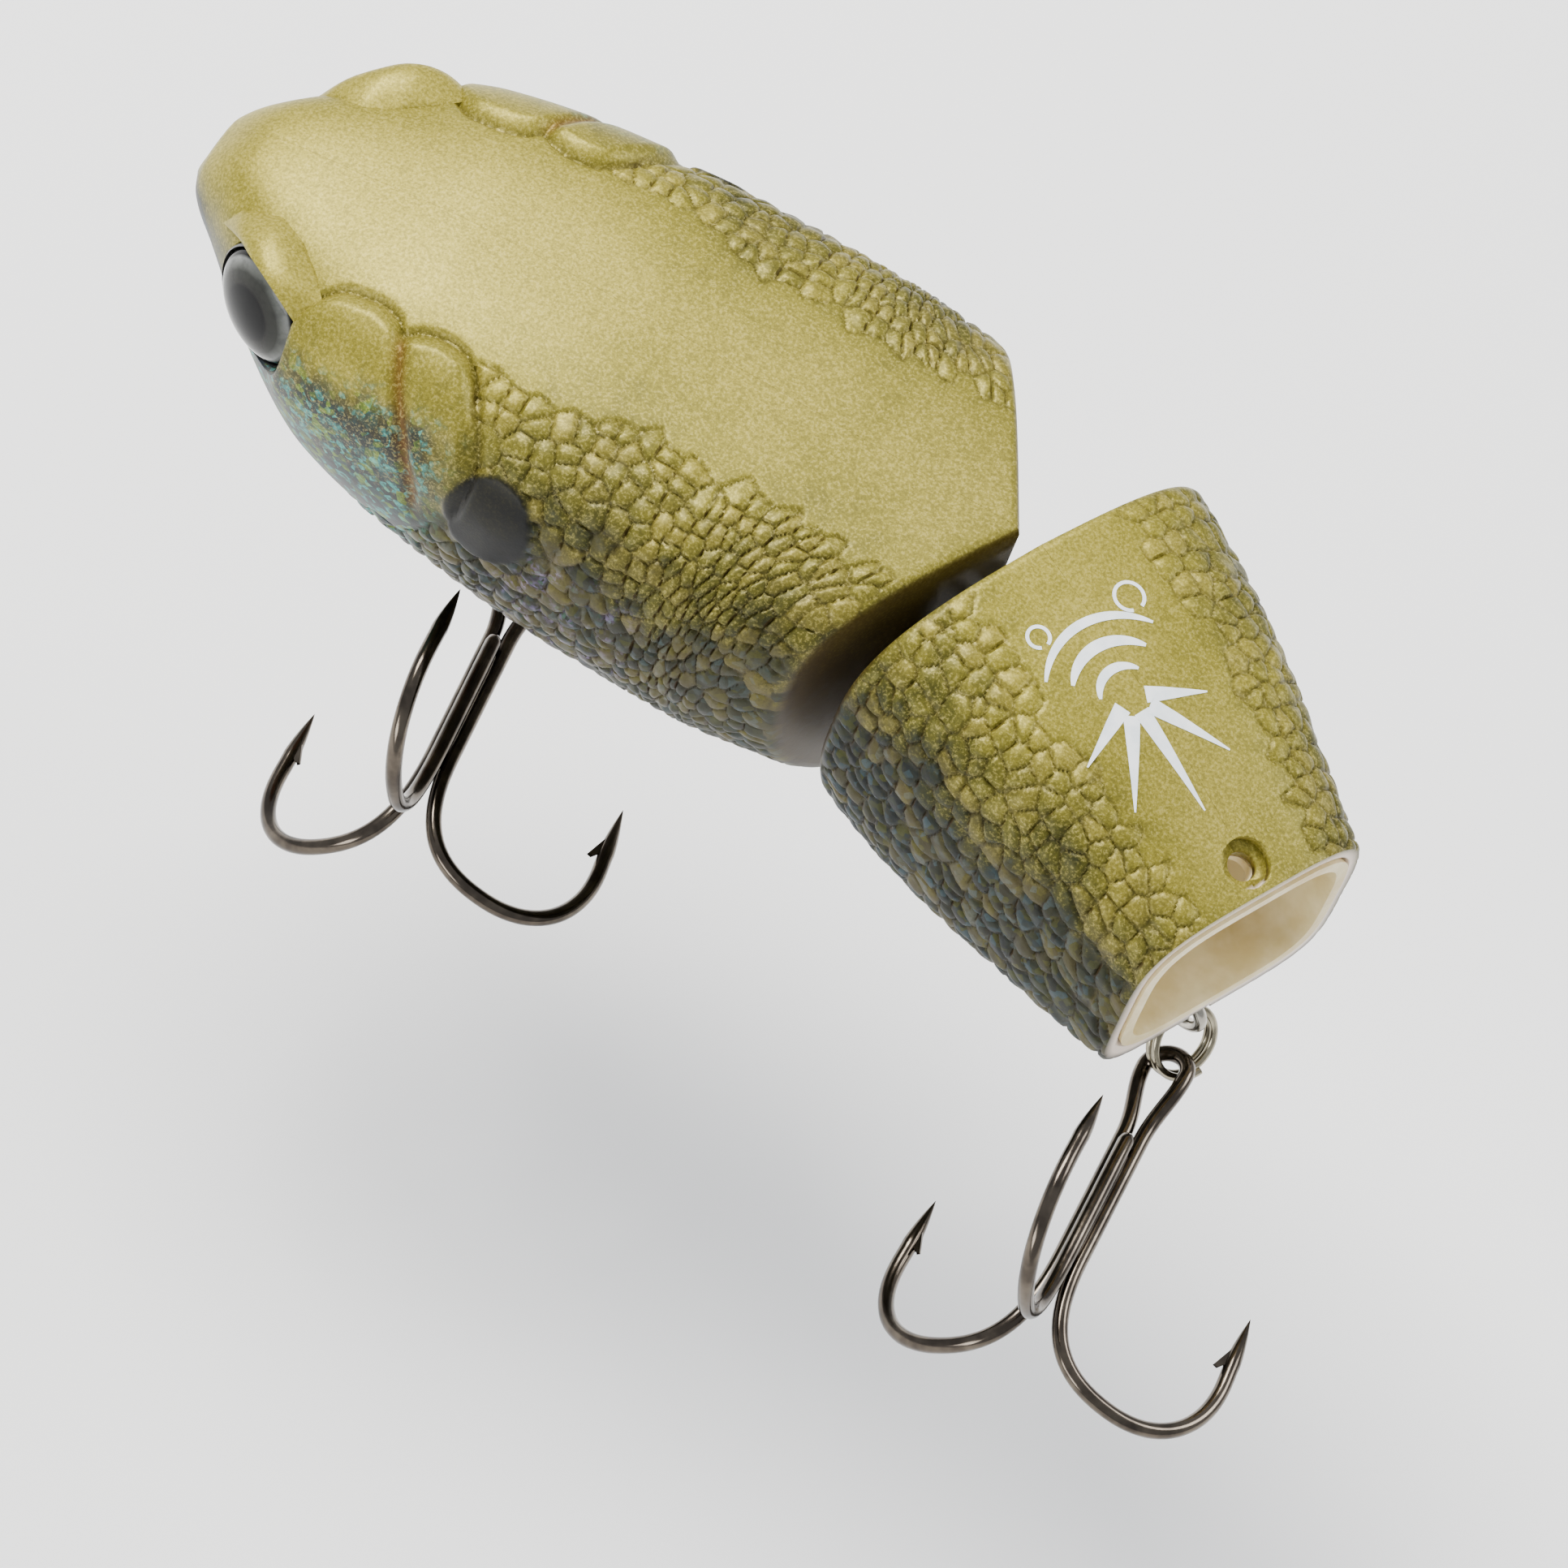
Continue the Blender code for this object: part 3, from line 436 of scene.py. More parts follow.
def cylinder(name, center, axis, radius, length, tail=False, sides=48):
    axis = np.array(axis, float)
    axis /= np.linalg.norm(axis)
    across = np.cross(axis, [0.0, 0.0, 1.0] if abs(axis[2]) < 0.9 else [1.0, 0.0, 0.0])
    across /= np.linalg.norm(across)
    other = np.cross(axis, across)
    angle = np.linspace(0, 2 * np.pi, sides, endpoint=False)[:, None]
    ring = radius * (np.cos(angle) * across + np.sin(angle) * other)
    center = np.array(center, float)
    points = np.concatenate([center + ring - axis * length / 2, center + ring + axis * length / 2])
    return ring_body(name, place(points, tail), 2, sides)


def tube(name, path, radii, tail=False, sides=14):
    """Round wire through the points, with a radius for each; its ends are closed."""
    path = np.array(path, float)
    tangent = np.gradient(path, axis=0)
    tangent /= np.linalg.norm(tangent, axis=1, keepdims=True)
    across = np.cross(tangent[0], [0.3, 0.5, 0.8])
    across /= np.linalg.norm(across)
    angle = np.linspace(0, 2 * np.pi, sides, endpoint=False)[:, None]
    rings = []
    for k in range(len(path)):
        across = across - tangent[k] * across.dot(tangent[k])
        across /= np.linalg.norm(across)
        other = np.cross(tangent[k], across)
        rings.append(path[k] + radii[k] * (np.cos(angle) * across + np.sin(angle) * other))
    return ring_body(name, place(np.concatenate(rings), tail), len(path), sides, 50.0)


def bezier(a, b, c, d, steps):
    t = (np.arange(1, steps + 1) / steps)[:, None]
    return a * (1 - t) ** 3 + b * 3 * t * (1 - t) ** 2 + c * 3 * t ** 2 * (1 - t) + d * t ** 3


def unit(vector):
    vector = np.array(vector, float)
    return vector / np.linalg.norm(vector)


def join(name, items):
    """Merge finished pieces of one material into one object."""
    mesh = bmesh.new()
    for item in items:
        mesh.from_mesh(item.data)
        data = item.data
        bpy.data.objects.remove(item)
        bpy.data.meshes.remove(data)
    made = bpy.data.meshes.new(name)
    mesh.to_mesh(made)
    mesh.free()
    return new_object(name, made)


def dress(item, material, body, slot, *nodes):
    """Give a finished piece its material, the body it rides on, its paint slot (not used) and the nodes it stands
    for.
    """
    item.data.materials.clear()
    item.data.materials.append(material)
    item.data.polygons.foreach_set("material_index", np.zeros(len(item.data.polygons), np.int32))
    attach(item, body)
    if nodes:
        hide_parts(*nodes)


# ---------------------------------------------------------------- materials


def srgb(red, green, blue):
    return tuple(((c / 255 + 0.055) / 1.055) ** 2.4 if c > 10 else c / 255 / 12.92 for c in (red, green, blue))


class Graph:
    """Short-hand for building one material's node tree."""

    def __init__(self, name):
        self.material = bpy.data.materials.new(name)
        self.material.use_nodes = True
        self.tree = self.material.node_tree
        self.shader = self.tree.nodes["Principled BSDF"]
        self.where = self.node("ShaderNodeTexCoord").outputs["Object"]

    def node(self, kind, **settings):
        made = self.tree.nodes.new(kind)
        for key, value in settings.items():
            setattr(made, key, value)
        return made

    def link(self, source, target):
        if hasattr(source, "is_output"):
            self.tree.links.new(source, target)
        else:
            target.default_value = source

    def noise(self, scale, detail=2.0, rough=0.5):
        made = self.node("ShaderNodeTexNoise")
        made.inputs["Scale"].default_value = scale
        made.inputs["Detail"].default_value = detail
        made.inputs["Roughness"].default_value = rough
        self.link(self.where, made.inputs["Vector"])
        return made.outputs["Fac"]

    def flakes(self, scale):
        """A random number for each angular fleck."""
        cells = self.node("ShaderNodeTexVoronoi")
        cells.inputs["Scale"].default_value = scale
        self.link(self.where, cells.inputs["Vector"])
        split = self.node("ShaderNodeSeparateColor")
        self.link(cells.outputs["Color"], split.inputs["Color"])
        return split.outputs[0]

    def math(self, operation, a, b=0.0):
        made = self.node("ShaderNodeMath", operation=operation)
        for slot, value in zip(made.inputs, (a, b)):
            self.link(value, slot)
        return made.outputs[0]

    def times(self, a, b):
        return self.math("MULTIPLY", a, b)

    def inverse(self, value):
        return self.math("SUBTRACT", 1.0, value)

    def step(self, value, low, high):
        """0 below low, 1 above high, smooth between."""
        made = self.node("ShaderNodeMapRange", interpolation_type="SMOOTHSTEP")
        for slot, item in zip(made.inputs, (value, low, high, 0.0, 1.0)):
            self.link(item, slot)
        return made.outputs[0]

    def ramp(self, value, stops):
        made = self.node("ShaderNodeValToRGB")
        ramp = made.color_ramp
        while len(ramp.elements) < len(stops):
            ramp.elements.new(0.5)
        for element, (place_at, color) in zip(ramp.elements, stops):
            element.position = place_at
            element.color = (*color, 1.0)
        self.link(value, made.inputs["Fac"])
        return made.outputs["Color"]

    def mix(self, amount, a, b):
        made = self.node("ShaderNodeMix", data_type="RGBA")
        sockets = [s for s in made.inputs if s.enabled]
        colors = [s for s in sockets if s.type == "RGBA"]
        factor = [s for s in sockets if s.type == "VALUE"][0]
        self.link(amount, factor)
        for slot, value in zip(colors, (a, b)):
            if isinstance(value, tuple):
                value = (*value, 1.0)
            self.link(value, slot)
        return [s for s in made.outputs if s.type == "RGBA"][0]

    def mask(self, name):
        """The four numbers stored at each point of a skin."""
        source = self.node("ShaderNodeAttribute", attribute_name=name)
        split = self.node("ShaderNodeSeparateColor")
        self.link(source.outputs["Color"], split.inputs["Color"])
        return [split.outputs[0], split.outputs[1], split.outputs[2], source.outputs["Alpha"]]

    def bump(self, height, strength, distance):
        made = self.node("ShaderNodeBump")
        made.inputs["Strength"].default_value = strength
        made.inputs["Distance"].default_value = distance
        self.link(height, made.inputs["Height"])
        self.link(made.outputs["Normal"], self.shader.inputs["Normal"])

    def finish(self, color, roughness, metallic=0.0, **sockets):
        self.link((*color, 1.0) if isinstance(color, tuple) else color, self.shader.inputs["Base Color"])
        self.link(roughness, self.shader.inputs["Roughness"])
        self.link(metallic, self.shader.inputs["Metallic"])
        for key, value in sockets.items():
            self.shader.inputs[key.replace("_", " ")].default_value = value
        return self.material


def body_paint(name, tail):
    """Olive-gold flake over the back, darker mottled flanks, pearl flecks low on the cheek."""
    g = Graph(name)
    girth, groove, shade, scaled = g.mask("relief")
    slit, crease, rim, around = g.mask("marks")
    split = g.node("ShaderNodeSeparateXYZ")
    g.link(g.where, split.inputs[0])
    along = split.outputs[0]
    blotch = g.noise(260, 4, 0.62)
    streak = g.noise(520, 3, 0.6)
    grain = g.noise(4200, 2, 0.7)
    level = g.math("ADD", girth, g.times(g.math("SUBTRACT", blotch, 0.5), 0.26))
    level = g.math("ADD", level, g.times(g.math("SUBTRACT", streak, 0.5), 0.12))
    bars = g.math("SINE", g.times(along, 440.0))
    level = g.math("ADD", level, g.times(bars, 0.03))
    if not tail:
        head = g.inverse(g.step(along, 0.018, 0.027))      # keeps the back's gold further down the head
        level = g.math("SUBTRACT", level, g.times(head, 0.13))
    color = g.ramp(level, [
        (0.00, srgb(146, 135, 50)), (0.13, srgb(130, 121, 38)), (0.24, srgb(104, 98, 32)),
        (0.30, srgb(80, 77, 22)), (0.36, srgb(42, 44, 14)), (0.42, srgb(18, 25, 18)),
        (0.56, srgb(18, 26, 28)), (0.78, srgb(60, 66, 70)), (1.00, srgb(128, 128, 124))])
    flakes = g.flakes(1500)
    dark = g.ramp(flakes, [
        (0.10, srgb(8, 12, 16)), (0.42, srgb(12, 22, 12)), (0.60, srgb(60, 62, 8)),
        (0.72, srgb(14, 24, 28)), (0.97, srgb(50, 68, 74))])
    low = g.times(g.step(level, 0.35, 0.44), g.inverse(g.step(level, 0.74, 0.92)))
    color = g.mix(g.times(low, 0.7), color, dark)
    if tail:
        rearward = g.step(along, 0.058, 0.110)
    else:
        rearward = g.step(along, -0.004, 0.070)
        patch = g.times(g.step(along, 0.0250, 0.0290), g.inverse(g.step(along, 0.0360, 0.0410)))
        patch = g.times(patch, g.step(around, 0.50, 0.58))
        pearl = g.ramp(g.flakes(3200), [
            (0.20, srgb(24, 30, 36)), (0.50, srgb(70, 60, 92)), (0.80, srgb(120, 108, 146)),
            (0.95, srgb(60, 90, 80))])
        color = g.mix(g.times(patch, g.step(g.noise(700, 2), 0.45, 0.75)), color, pearl)
        below = g.step(g.math("ADD", around, g.times(blotch, 0.16)), 0.42, 0.54)
        cheek = g.times(g.inverse(g.step(along, 0.0190, 0.0235)), below)
        mixed = g.math("ADD", g.times(flakes, 0.45), g.times(g.noise(520, 3, 0.66), 0.6))
        flecks = g.ramp(mixed, [
            (0.22, srgb(10, 14, 26)), (0.42, srgb(16, 30, 40)), (0.53, srgb(26, 60, 62)),
            (0.60, srgb(50, 146, 140)), (0.64, srgb(28, 52, 40)), (0.75, srgb(92, 118, 34)),
            (0.90, srgb(80, 170, 160))])
        color = g.mix(g.times(cheek, 0.94), color, flecks)
        throat = g.times(g.step(girth, 0.62, 0.85), cheek)
        color = g.mix(g.times(throat, 0.8), color, srgb(104, 62, 46))
        color = g.mix(g.times(slit, 0.8), color, srgb(96, 62, 14))
    color = g.mix(g.times(rearward, 0.30), color, srgb(70, 66, 30))
    color = g.mix(g.times(scaled, g.times(g.math("SUBTRACT", shade, 0.5), 0.24)),
                  color, srgb(190, 168, 80))
    # painted shade: the grooves between the scales and the creases along the gill plates are darkened
    color = g.mix(g.times(groove, 0.50), color, srgb(44, 36, 12))
    color = g.mix(g.times(crease, 0.45), color, srgb(46, 40, 18))
    sparkle = g.step(grain, 0.50, 0.66)
    shadow = g.step(grain, 0.50, 0.36)
    high = g.inverse(g.step(level, 0.28, 0.42))
    color = g.mix(g.times(g.times(sparkle, 0.22), high), color, srgb(214, 198, 118))
    color = g.mix(g.times(shadow, 0.32), color, srgb(42, 38, 12))
    # painted shade: the faces of the two sections that look into the hinge gap are darkened, as if in shadow
    facing = g.node("ShaderNodeSeparateXYZ")
    g.link(g.node("ShaderNodeTexCoord").outputs["Normal"], facing.inputs[0])
    end = g.times(facing.outputs[0], -1.0) if tail else facing.outputs[0]
    color = g.mix(g.times(g.step(end, 0.55, 0.85), 0.75), color, srgb(58, 42, 18))
    color = g.mix(rim, color, srgb(222, 206, 190))
    if not tail:
        color = g.mix(g.times(g.mask("flap")[0], 0.95), color, srgb(9, 9, 10))
    metallic = g.times(g.inverse(rim), 0.35)
    g.bump(grain, 0.25, 0.00004)
    return g.finish(color, 0.45, metallic, Specular_IOR_Level=0.2, Coat_Weight=0.05, Coat_Roughness=0.3)


def plated_wire(name, color, bright, roughness):
    g = Graph(name)
    cloud = g.noise(350, 3, 0.6)
    tint = g.mix(g.step(cloud, 0.35, 0.7), color, bright)
    rough = g.math("ADD", roughness, g.times(g.noise(2600, 2), 0.10))
    g.bump(g.noise(1800, 2), 0.12, 0.00003)
    return g.finish(tint, rough, 1.0)


def bare_plastic(name):
    g = Graph(name)
    stain = g.noise(170, 4, 0.6)
    color = g.mix(g.step(stain, 0.35, 0.7), srgb(226, 208, 160), srgb(200, 176, 118))
    g.bump(g.noise(900, 3), 0.15, 0.00006)
    return g.finish(color, g.math("ADD", 0.36, g.times(stain, 0.15)), 0.0, Subsurface_Weight=0.08)


def printed_eye(name, roughness, coat):
    """Dark pupil in a smoky ringed iris; the eye's axis is its object's own Z."""
    g = Graph(name)
    split = g.node("ShaderNodeSeparateXYZ")
    g.link(g.where, split.inputs[0])
    x, y = split.outputs[0], split.outputs[1]
    far = g.math("SQRT", g.math("ADD", g.times(x, x), g.times(y, y)))
    radius = g.math("DIVIDE", far, EYE_RADIUS * MM)
    color = g.ramp(radius, [
        (0.00, srgb(5, 5, 6)), (0.46, srgb(6, 6, 7)), (0.52, srgb(34, 34, 31)), (0.70, srgb(44, 45, 41)),
        (0.80, srgb(92, 94, 90)), (0.88, srgb(120, 122, 120)), (0.92, srgb(16, 16, 16)), (1.00, srgb(5, 5, 5))])
    streak = g.noise(900, 3, 0.6)
    color = g.mix(g.times(g.step(streak, 0.4, 0.7), 0.4), color, srgb(18, 19, 18))
    return g.finish(color, roughness, 0.0, Specular_IOR_Level=0.06, Coat_Weight=coat, Coat_Roughness=0.02)


def plain_paint(name, color, other, roughness, metallic=0.0):
    g = Graph(name)
    mixed = g.mix(g.step(g.noise(600, 4, 0.6), 0.35, 0.65), color, other)
    g.bump(g.noise(1400, 3), 0.2, 0.00005)
    return g.finish(mixed, roughness, metallic)


# ---------------------------------------------------------------- pieces


def mirrored(vector, side):
    """The left side's vector on the side asked for (-1 left, 1 right)."""
    return np.array(vector, float) * [1, -side, 1]


def eye_frame(side):
    """Centre, outward, forward and up directions of one eye."""
    center = mirrored(EYE_CENTER, side)
    outward = unit(mirrored(EYE_NORMAL, side))
    up = unit(np.array([0, 0, 1.0]) - outward * outward[2])
    forward = unit(np.cross(up, outward))
    if forward[0] > 0:
        forward = -forward
    return center, outward, forward, up


def turned_local(name, profile, side):
    """Solid of revolution about the eye's axis, with the object's own Z along it."""
    center, outward, _, up = eye_frame(side)
    rings = []
    angle = np.linspace(0, 2 * np.pi, EYE_SIDES, endpoint=False)
    for radius, height in profile:
        rings.append(np.stack([radius * np.cos(angle), radius * np.sin(angle), np.full(EYE_SIDES, height)], -1))
    points = np.concatenate(rings) * MM
    made = ring_body(name, points, len(profile), EYE_SIDES, 40.0)
    across = np.cross(up, outward)
    turn = Matrix((across, up, outward)).transposed().to_4x4()
    made.matrix_world = Matrix.Translation(Vector(place(center)[0])) @ turn
    return made


def skin_point(profile, x, s, side):
    """Place on a section's smooth skin at x and girth distance s, and its outward normal."""
    y, z, distance = even_section(profile, x, 400)
    at = np.array([x, np.interp(s, distance, y), np.interp(s, distance, z)])
    ahead = np.array([x, np.interp(s + 0.3, distance, y), np.interp(s + 0.3, distance, z)])
    y2, z2, distance2 = even_section(profile, x + 0.3, 400)
    onward = np.array([x + 0.3, np.interp(s, distance2, y2), np.interp(s, distance2, z2)])
    normal = unit(np.cross(onward - at, ahead - at))
    if normal[2] < 0 and s < 12:
        normal = -normal
    if normal[1] < 0 and s >= 12:
        normal = -normal
    sign = np.array([1, side, 1.0])
    return at * sign, normal * sign


def build_brow(side, word, paint):
    """Puffed lid that stands out over the top of the eye."""
    center, outward, forward, up = eye_frame(side)
    count = 40
    ring_steps = 14
    rings = []
    for k in range(count + 1):
        a = k / count
        swell = max(math.sin(math.pi * a), 0.0) ** 0.55
        spot = a * (len(BROW_EDGE) - 1)
        i = min(int(spot), len(BROW_EDGE) - 2)
        edge = [BROW_EDGE[i][j] + (BROW_EDGE[i + 1][j] - BROW_EDGE[i][j]) * (spot - i) for j in (0, 1)]
        start, normal = skin_point(FRONT_PROFILE, edge[0], edge[1], side)
        angle = math.radians(28 + 138 * a)
        reach = EYE_RADIUS * (1.08 + 0.10 * a ** 3)
        rim = center + reach * (forward * math.cos(angle) + up * math.sin(angle))
        lip = rim + outward * (2.6 * swell - 0.9) - up * 0.35 * swell
        crown = (start + lip) / 2 + (normal * 1.0 + outward * 0.5) * swell
        outer = [start * (1 - t) ** 2 + crown * 2 * t * (1 - t) + lip * t ** 2
                 for t in np.linspace(0, 1, ring_steps)]
        under = rim * 0.96 + center * 0.04 + outward * (-0.2 + 0.5 * swell)
        inner = [lip - outward * 0.30 * swell - up * 0.12 * swell, under, start - normal * 1.0 * max(swell, 0.15)]
        rings.append(np.array(outer + inner))
    points = place(np.concatenate(rings))
    item = ring_body(f"brow_{word}", points, count + 1, len(rings[0]), 50.0)
    masks = {"relief": np.tile([0.10, 0.0, 0.5, 0.0], (len(points), 1)),
             "marks": np.tile([0.0, 0.0, 0.0, 0.2], (len(points), 1)),
             "flap": np.zeros((len(points), 4))}
    store_masks(item, points, masks)
    dress(item, paint, "front_body", "olive_pearl_paint")


def build_front(paint):
    socket_tools = []
    slot = cylinder("slot_tool", *HINGE_SLOT)
    hole = cylinder("nose_tool", (-66.2, -0.4, -8.9), (1, 0.15, -0.6), 0.55, 3.4, sides=20)
    relief = cylinder("relief_tool", (-33.2, 0, -32.9), (0, 1, 0), 2.75, 1.7)
    tie = cylinder("tie_tool", (-60.0, 0, -19.4), (0, 0, 1), 0.75, 10.4, sides=20)
    for side, word in SIDES:
        skin, points, masks = half_skin(f"front_skin_{word}", FRONT_PROFILE, FRONT_SPAN, False, side)
        center, outward, _, _ = eye_frame(side)
        socket = cylinder(f"socket_{word}", center + outward * 1.2, outward, EYE_RADIUS + 0.32, 5.0, sides=72)
        subtract(skin, slot, hole, relief, tie, socket)
        store_masks(skin, points, masks)
        dress(skin, paint, "front_body", "olive_pearl_paint", f"front_shell_{word}")
        socket_tools.append(socket)
    for tool in [slot, hole, relief, tie] + socket_tools:
        bpy.data.objects.remove(tool)


def build_eyes(iris, lens, black):
    r = EYE_RADIUS
    for side, word in SIDES:
        disc_profile = [(0.02, -1.6), (r - 0.3, -1.6), (r, -1.3), (r, 0.05), (0.02, 0.05)]
        disc = turned_local(f"iris_{word}", disc_profile, side)
        dress(disc, iris, "front_body", "printed_iris", f"eye_{word}")
        dome = [(r * math.cos(a), 0.12 + 1.95 * math.sin(a)) for a in np.linspace(0, math.pi / 2 - 0.01, 18)]
        cover = turned_local(f"lens_{word}", [(0.02, 0.12)] + dome, side)
        dress(cover, lens, "front_body", "clear_lens", f"eye_lens_{word}")
        # painted shade: a black ring fills the gap round the eye disc, standing in for the shadow deep in the
        # socket
        rim_profile = [(r + 0.02, -1.4), (r + 0.26, -1.4), (r + 0.26, 0.45), (r + 0.12, 0.62), (r + 0.02, 0.45)]
        rim = turned_local(f"socket_shade_ring_{word}", rim_profile, side)
        close_ring(rim, len(rim_profile), EYE_SIDES)
        dress(rim, black, "front_body", "printed_iris")


def close_ring(item, rings, sides):
    """Turn a capped run of rings into a closed loop of rings."""
    index = np.arange(rings * sides).reshape(rings, sides)
    old = item.data
    loop = ring_quads(np.concatenate([index, index[:1]]))
    item.data = closed_mesh(item.name, [v.co for v in old.vertices], loop, 40.0)
    bpy.data.meshes.remove(old)


def build_tail(paint, bare):
    slot = cylinder("tail_slot_tool", *HINGE_SLOT, True)
    pocket = both_loft("pocket_tool", CUP_PROFILE, (17.0, 31.5), 8, overshoot=1.0)
    hole = np.array([28.9, 0, -5.4])
    slope = float(curve_value(TAIL_PROFILE["top"], 29.9) - curve_value(TAIL_PROFILE["top"], 27.9)) / 2
    axis = unit([-slope, 0, 1])
    bore = cylinder("bore_tool", hole, axis, 1.15, 9.0, True)
    counterbore = cylinder("counterbore_tool", hole + axis * 1.25, axis, 1.95, 4.0, True)
    relief = cylinder("tail_relief_tool", (29.75, -0.3, -25.95), (-0.09, 0.97, 0.13), 2.6, 2.0, True)
    tools = [slot, pocket, bore, counterbore, relief]
    for side, word in SIDES:
        skin, points, masks = half_skin(f"tail_skin_{word}", TAIL_PROFILE, TAIL_SPAN, True, side)
        subtract(skin, *tools)
        store_masks(skin, points, masks)
        dress(skin, paint, "tail_body", "olive_pearl_paint", f"tail_shell_{word}")
    liner = both_loft("cup_wall", CUP_PROFILE, (17.3, 31.5), 24, inset=0.3, girth=90)
    hollow = both_loft("hollow_tool", CUP_PROFILE, (18.4, 31.5), 16, inset=1.2, overshoot=1.0, girth=90)
    subtract(liner, hollow, bore)
    bevel = liner.modifiers.new("rim", "BEVEL")
    bevel.width = 0.18 * MM
    bevel.segments = 2
    bevel.limit_method = "ANGLE"
    bevel.angle_limit = math.radians(50)
    bpy.context.view_layer.update()
    apply_modifiers(liner)
    dress(liner, bare, "tail_body", "bone_plastic", "cup_liner")
    for tool in tools + [hollow]:
        bpy.data.objects.remove(tool)


def ink_stroke(name, points, widths):
    """Thin printed stroke that follows the tail's back; points are (x, s) with s to the right positive."""
    points = np.array(points, float)
    tangent = np.gradient(points, axis=0)
    tangent /= np.linalg.norm(tangent, axis=1, keepdims=True)
    across = np.stack([-tangent[:, 1], tangent[:, 0]], -1)
    rings = []
    for k, point in enumerate(points):
        ring = []
        for lift in (0.05, -0.25):
            offsets = np.linspace(-1, 1, 4) if lift > 0 else np.linspace(1, -1, 4)
            for offset in offsets:
                x, s = point + across[k] * offset * widths[k] / 2
                side = -1 if s < 0 else 1
                at, normal = skin_point(TAIL_PROFILE, float(x), abs(float(s)), side)
                ring.append(at + normal * lift)
        rings.append(np.array(ring))
    return ring_body(name, place(np.concatenate(rings), True), len(rings), 8, 60.0)


def arc(center, radius, start, end, count):
    angle = np.radians(np.linspace(start, end, count))
    return np.stack([center[0] + radius * np.cos(angle), center[1] + radius * np.sin(angle)], -1)


def build_mark(ink):
    """A plain splash: three ripples, drops thrown up from them, and two bubbles."""
    strokes = []
    center = (14.8, -1.2)
    for k, (radius, width) in enumerate(((2.3, 0.75), (4.3, 0.95), (6.3, 0.75))):
        path = arc(center, radius, 128, 232 if k else 250, 26)
        taper = np.sin(np.linspace(0.12, math.pi - 0.12, 26)) ** 0.6
        strokes.append(ink_stroke(f"ripple_{k}", path, width * taper))
    for k, (angle, start, end) in enumerate(((-64, 1.2, 6.6), (-32, 1.6, 8.6), (2, 1.4, 9.6), (34, 1.6, 8.2),
                                             (66, 1.2, 6.0))):
        reach = np.linspace(start, end, 14)[:, None]
        way = np.array([[math.cos(math.radians(angle)), math.sin(math.radians(angle))]])
        taper = np.concatenate([np.linspace(1.3, 1.0, 5), np.linspace(0.9, 0.12, 9)])
        strokes.append(ink_stroke(f"drop_{k}", np.array(center) + reach * way, taper))
    for k, (x, s, radius) in enumerate(((8.4, 3.4, 1.15), (7.8, -4.6, 0.85))):
        strokes.append(ink_stroke(f"bubble_{k}", arc((x, s), radius, 20, 340, 24), np.full(24, 0.28)))
    mark = join("splash_mark", strokes)
    dress(mark, ink, "tail_body", "bone_plastic")


def eye_loop(center, out, across, radius, shank):
    """Straight shank along -out, then an open round eye about the centre."""
    out = unit(out)
    across = unit(np.array(across, float) - out * np.dot(across, out))
    center = np.array(center, float)
    straight = [center - out * (radius + shank * t) for t in np.linspace(1, 0.08, 8)]
    angle = np.linspace(0, 2 * np.pi * EYE_TURN, 60)[:, None]
    loop = center - out * (radius * np.cos(angle)) + across * (radius * np.sin(angle))
    return np.concatenate([straight, loop])


def build_wires(steel):
    """Screw eyes: hinge eyes, line tie and hook hangers, smoother than the CAD's."""
    pieces = []
    for z, word in ((-9.6, "upper"), (-25.4, "lower")):
        pieces.append((f"front_hinge_eye_{word}", "front_body", False,
                       eye_loop((PIVOT_X, 0, z), (1, 0, 0), (0, 1, 0), 1.7, 7.5)))
    for z, word in ((-11.2, "upper"), (-23.8, "lower")):
        pieces.append((f"tail_hinge_eye_{word}", "tail_body", True,
                       eye_loop((PIVOT_X, 0, z), (-1, 0, 0), (0, 1, 0), 1.7, 6.0)))
    pieces.append(("line_tie", "front_body", False, eye_loop((-60, 0, -25.4), (0, 0, -1), (1, 0, 0), 1.7, 8.0)))
    pieces.append(("belly_hanger", "front_body", False,
                   eye_loop((-33.2, 0, -32.9), (0, 0, -1), (1, 0, 0), 1.8, 6.0)))
    hanger = np.array([30.75, 0, -27.4])
    up = unit([-0.561, -0.165, 0.812])
    top = hanger + up * 3.56
    loop = eye_loop(hanger + up * 1.78, -up, (-0.811, -0.092, -0.578), 1.78, 0.01)[8:]
    bend = bezier(top + [-6.0, -top[1], 0.6], top + [-1.6, -top[1], 0.75], top + [-1.2, 0, 0.5], top, 8)[:-1]
    start = np.array([[top[0] - 9.5, 0, top[2] + 0.6], [top[0] - 6.5, 0, top[2] + 0.6]])
    pieces.append(("tail_hanger", "tail_body", True, np.concatenate([start, bend, loop])))
    for name, body, tail, path in pieces:
        item = tube(f"{name}_wire", path, [EYE_WIRE] * len(path), tail)
        dress(item, steel, body, "stainless_wire", name)


LINKS = {
    "belly": {
        "tail": False, "hanger": (-33.2, 0, -34.7), "ring_center": (0, 0.3, -1.25), "ring_normal": (1, 0, 0),
        "eye": (0, -0.5, -1.25), "shank": (0.116, -0.993, 0.026), "arm": (-0.22, 0, 0.98), "twist": 0.0},
    "tail": {
        "tail": True, "hanger": (30.75, 0, -27.4), "ring_center": (0.61, -0.94, -0.62),
        "ring_normal": (0.814, -0.064, 0.578), "eye": (0.81, -1.54, -1.93), "shank": (0.482, -0.876, 0.021),
        "arm": (-0.20, -0.09, 0.98), "twist": -11.0},
}
HOOK_LENGTH = 28.4
HOOK_SPREAD = 14.7
SHANK_OFFSET = 0.82
SHANK_END = 19.5
EYE_HALF = 1.7
EYE_END = 8.0


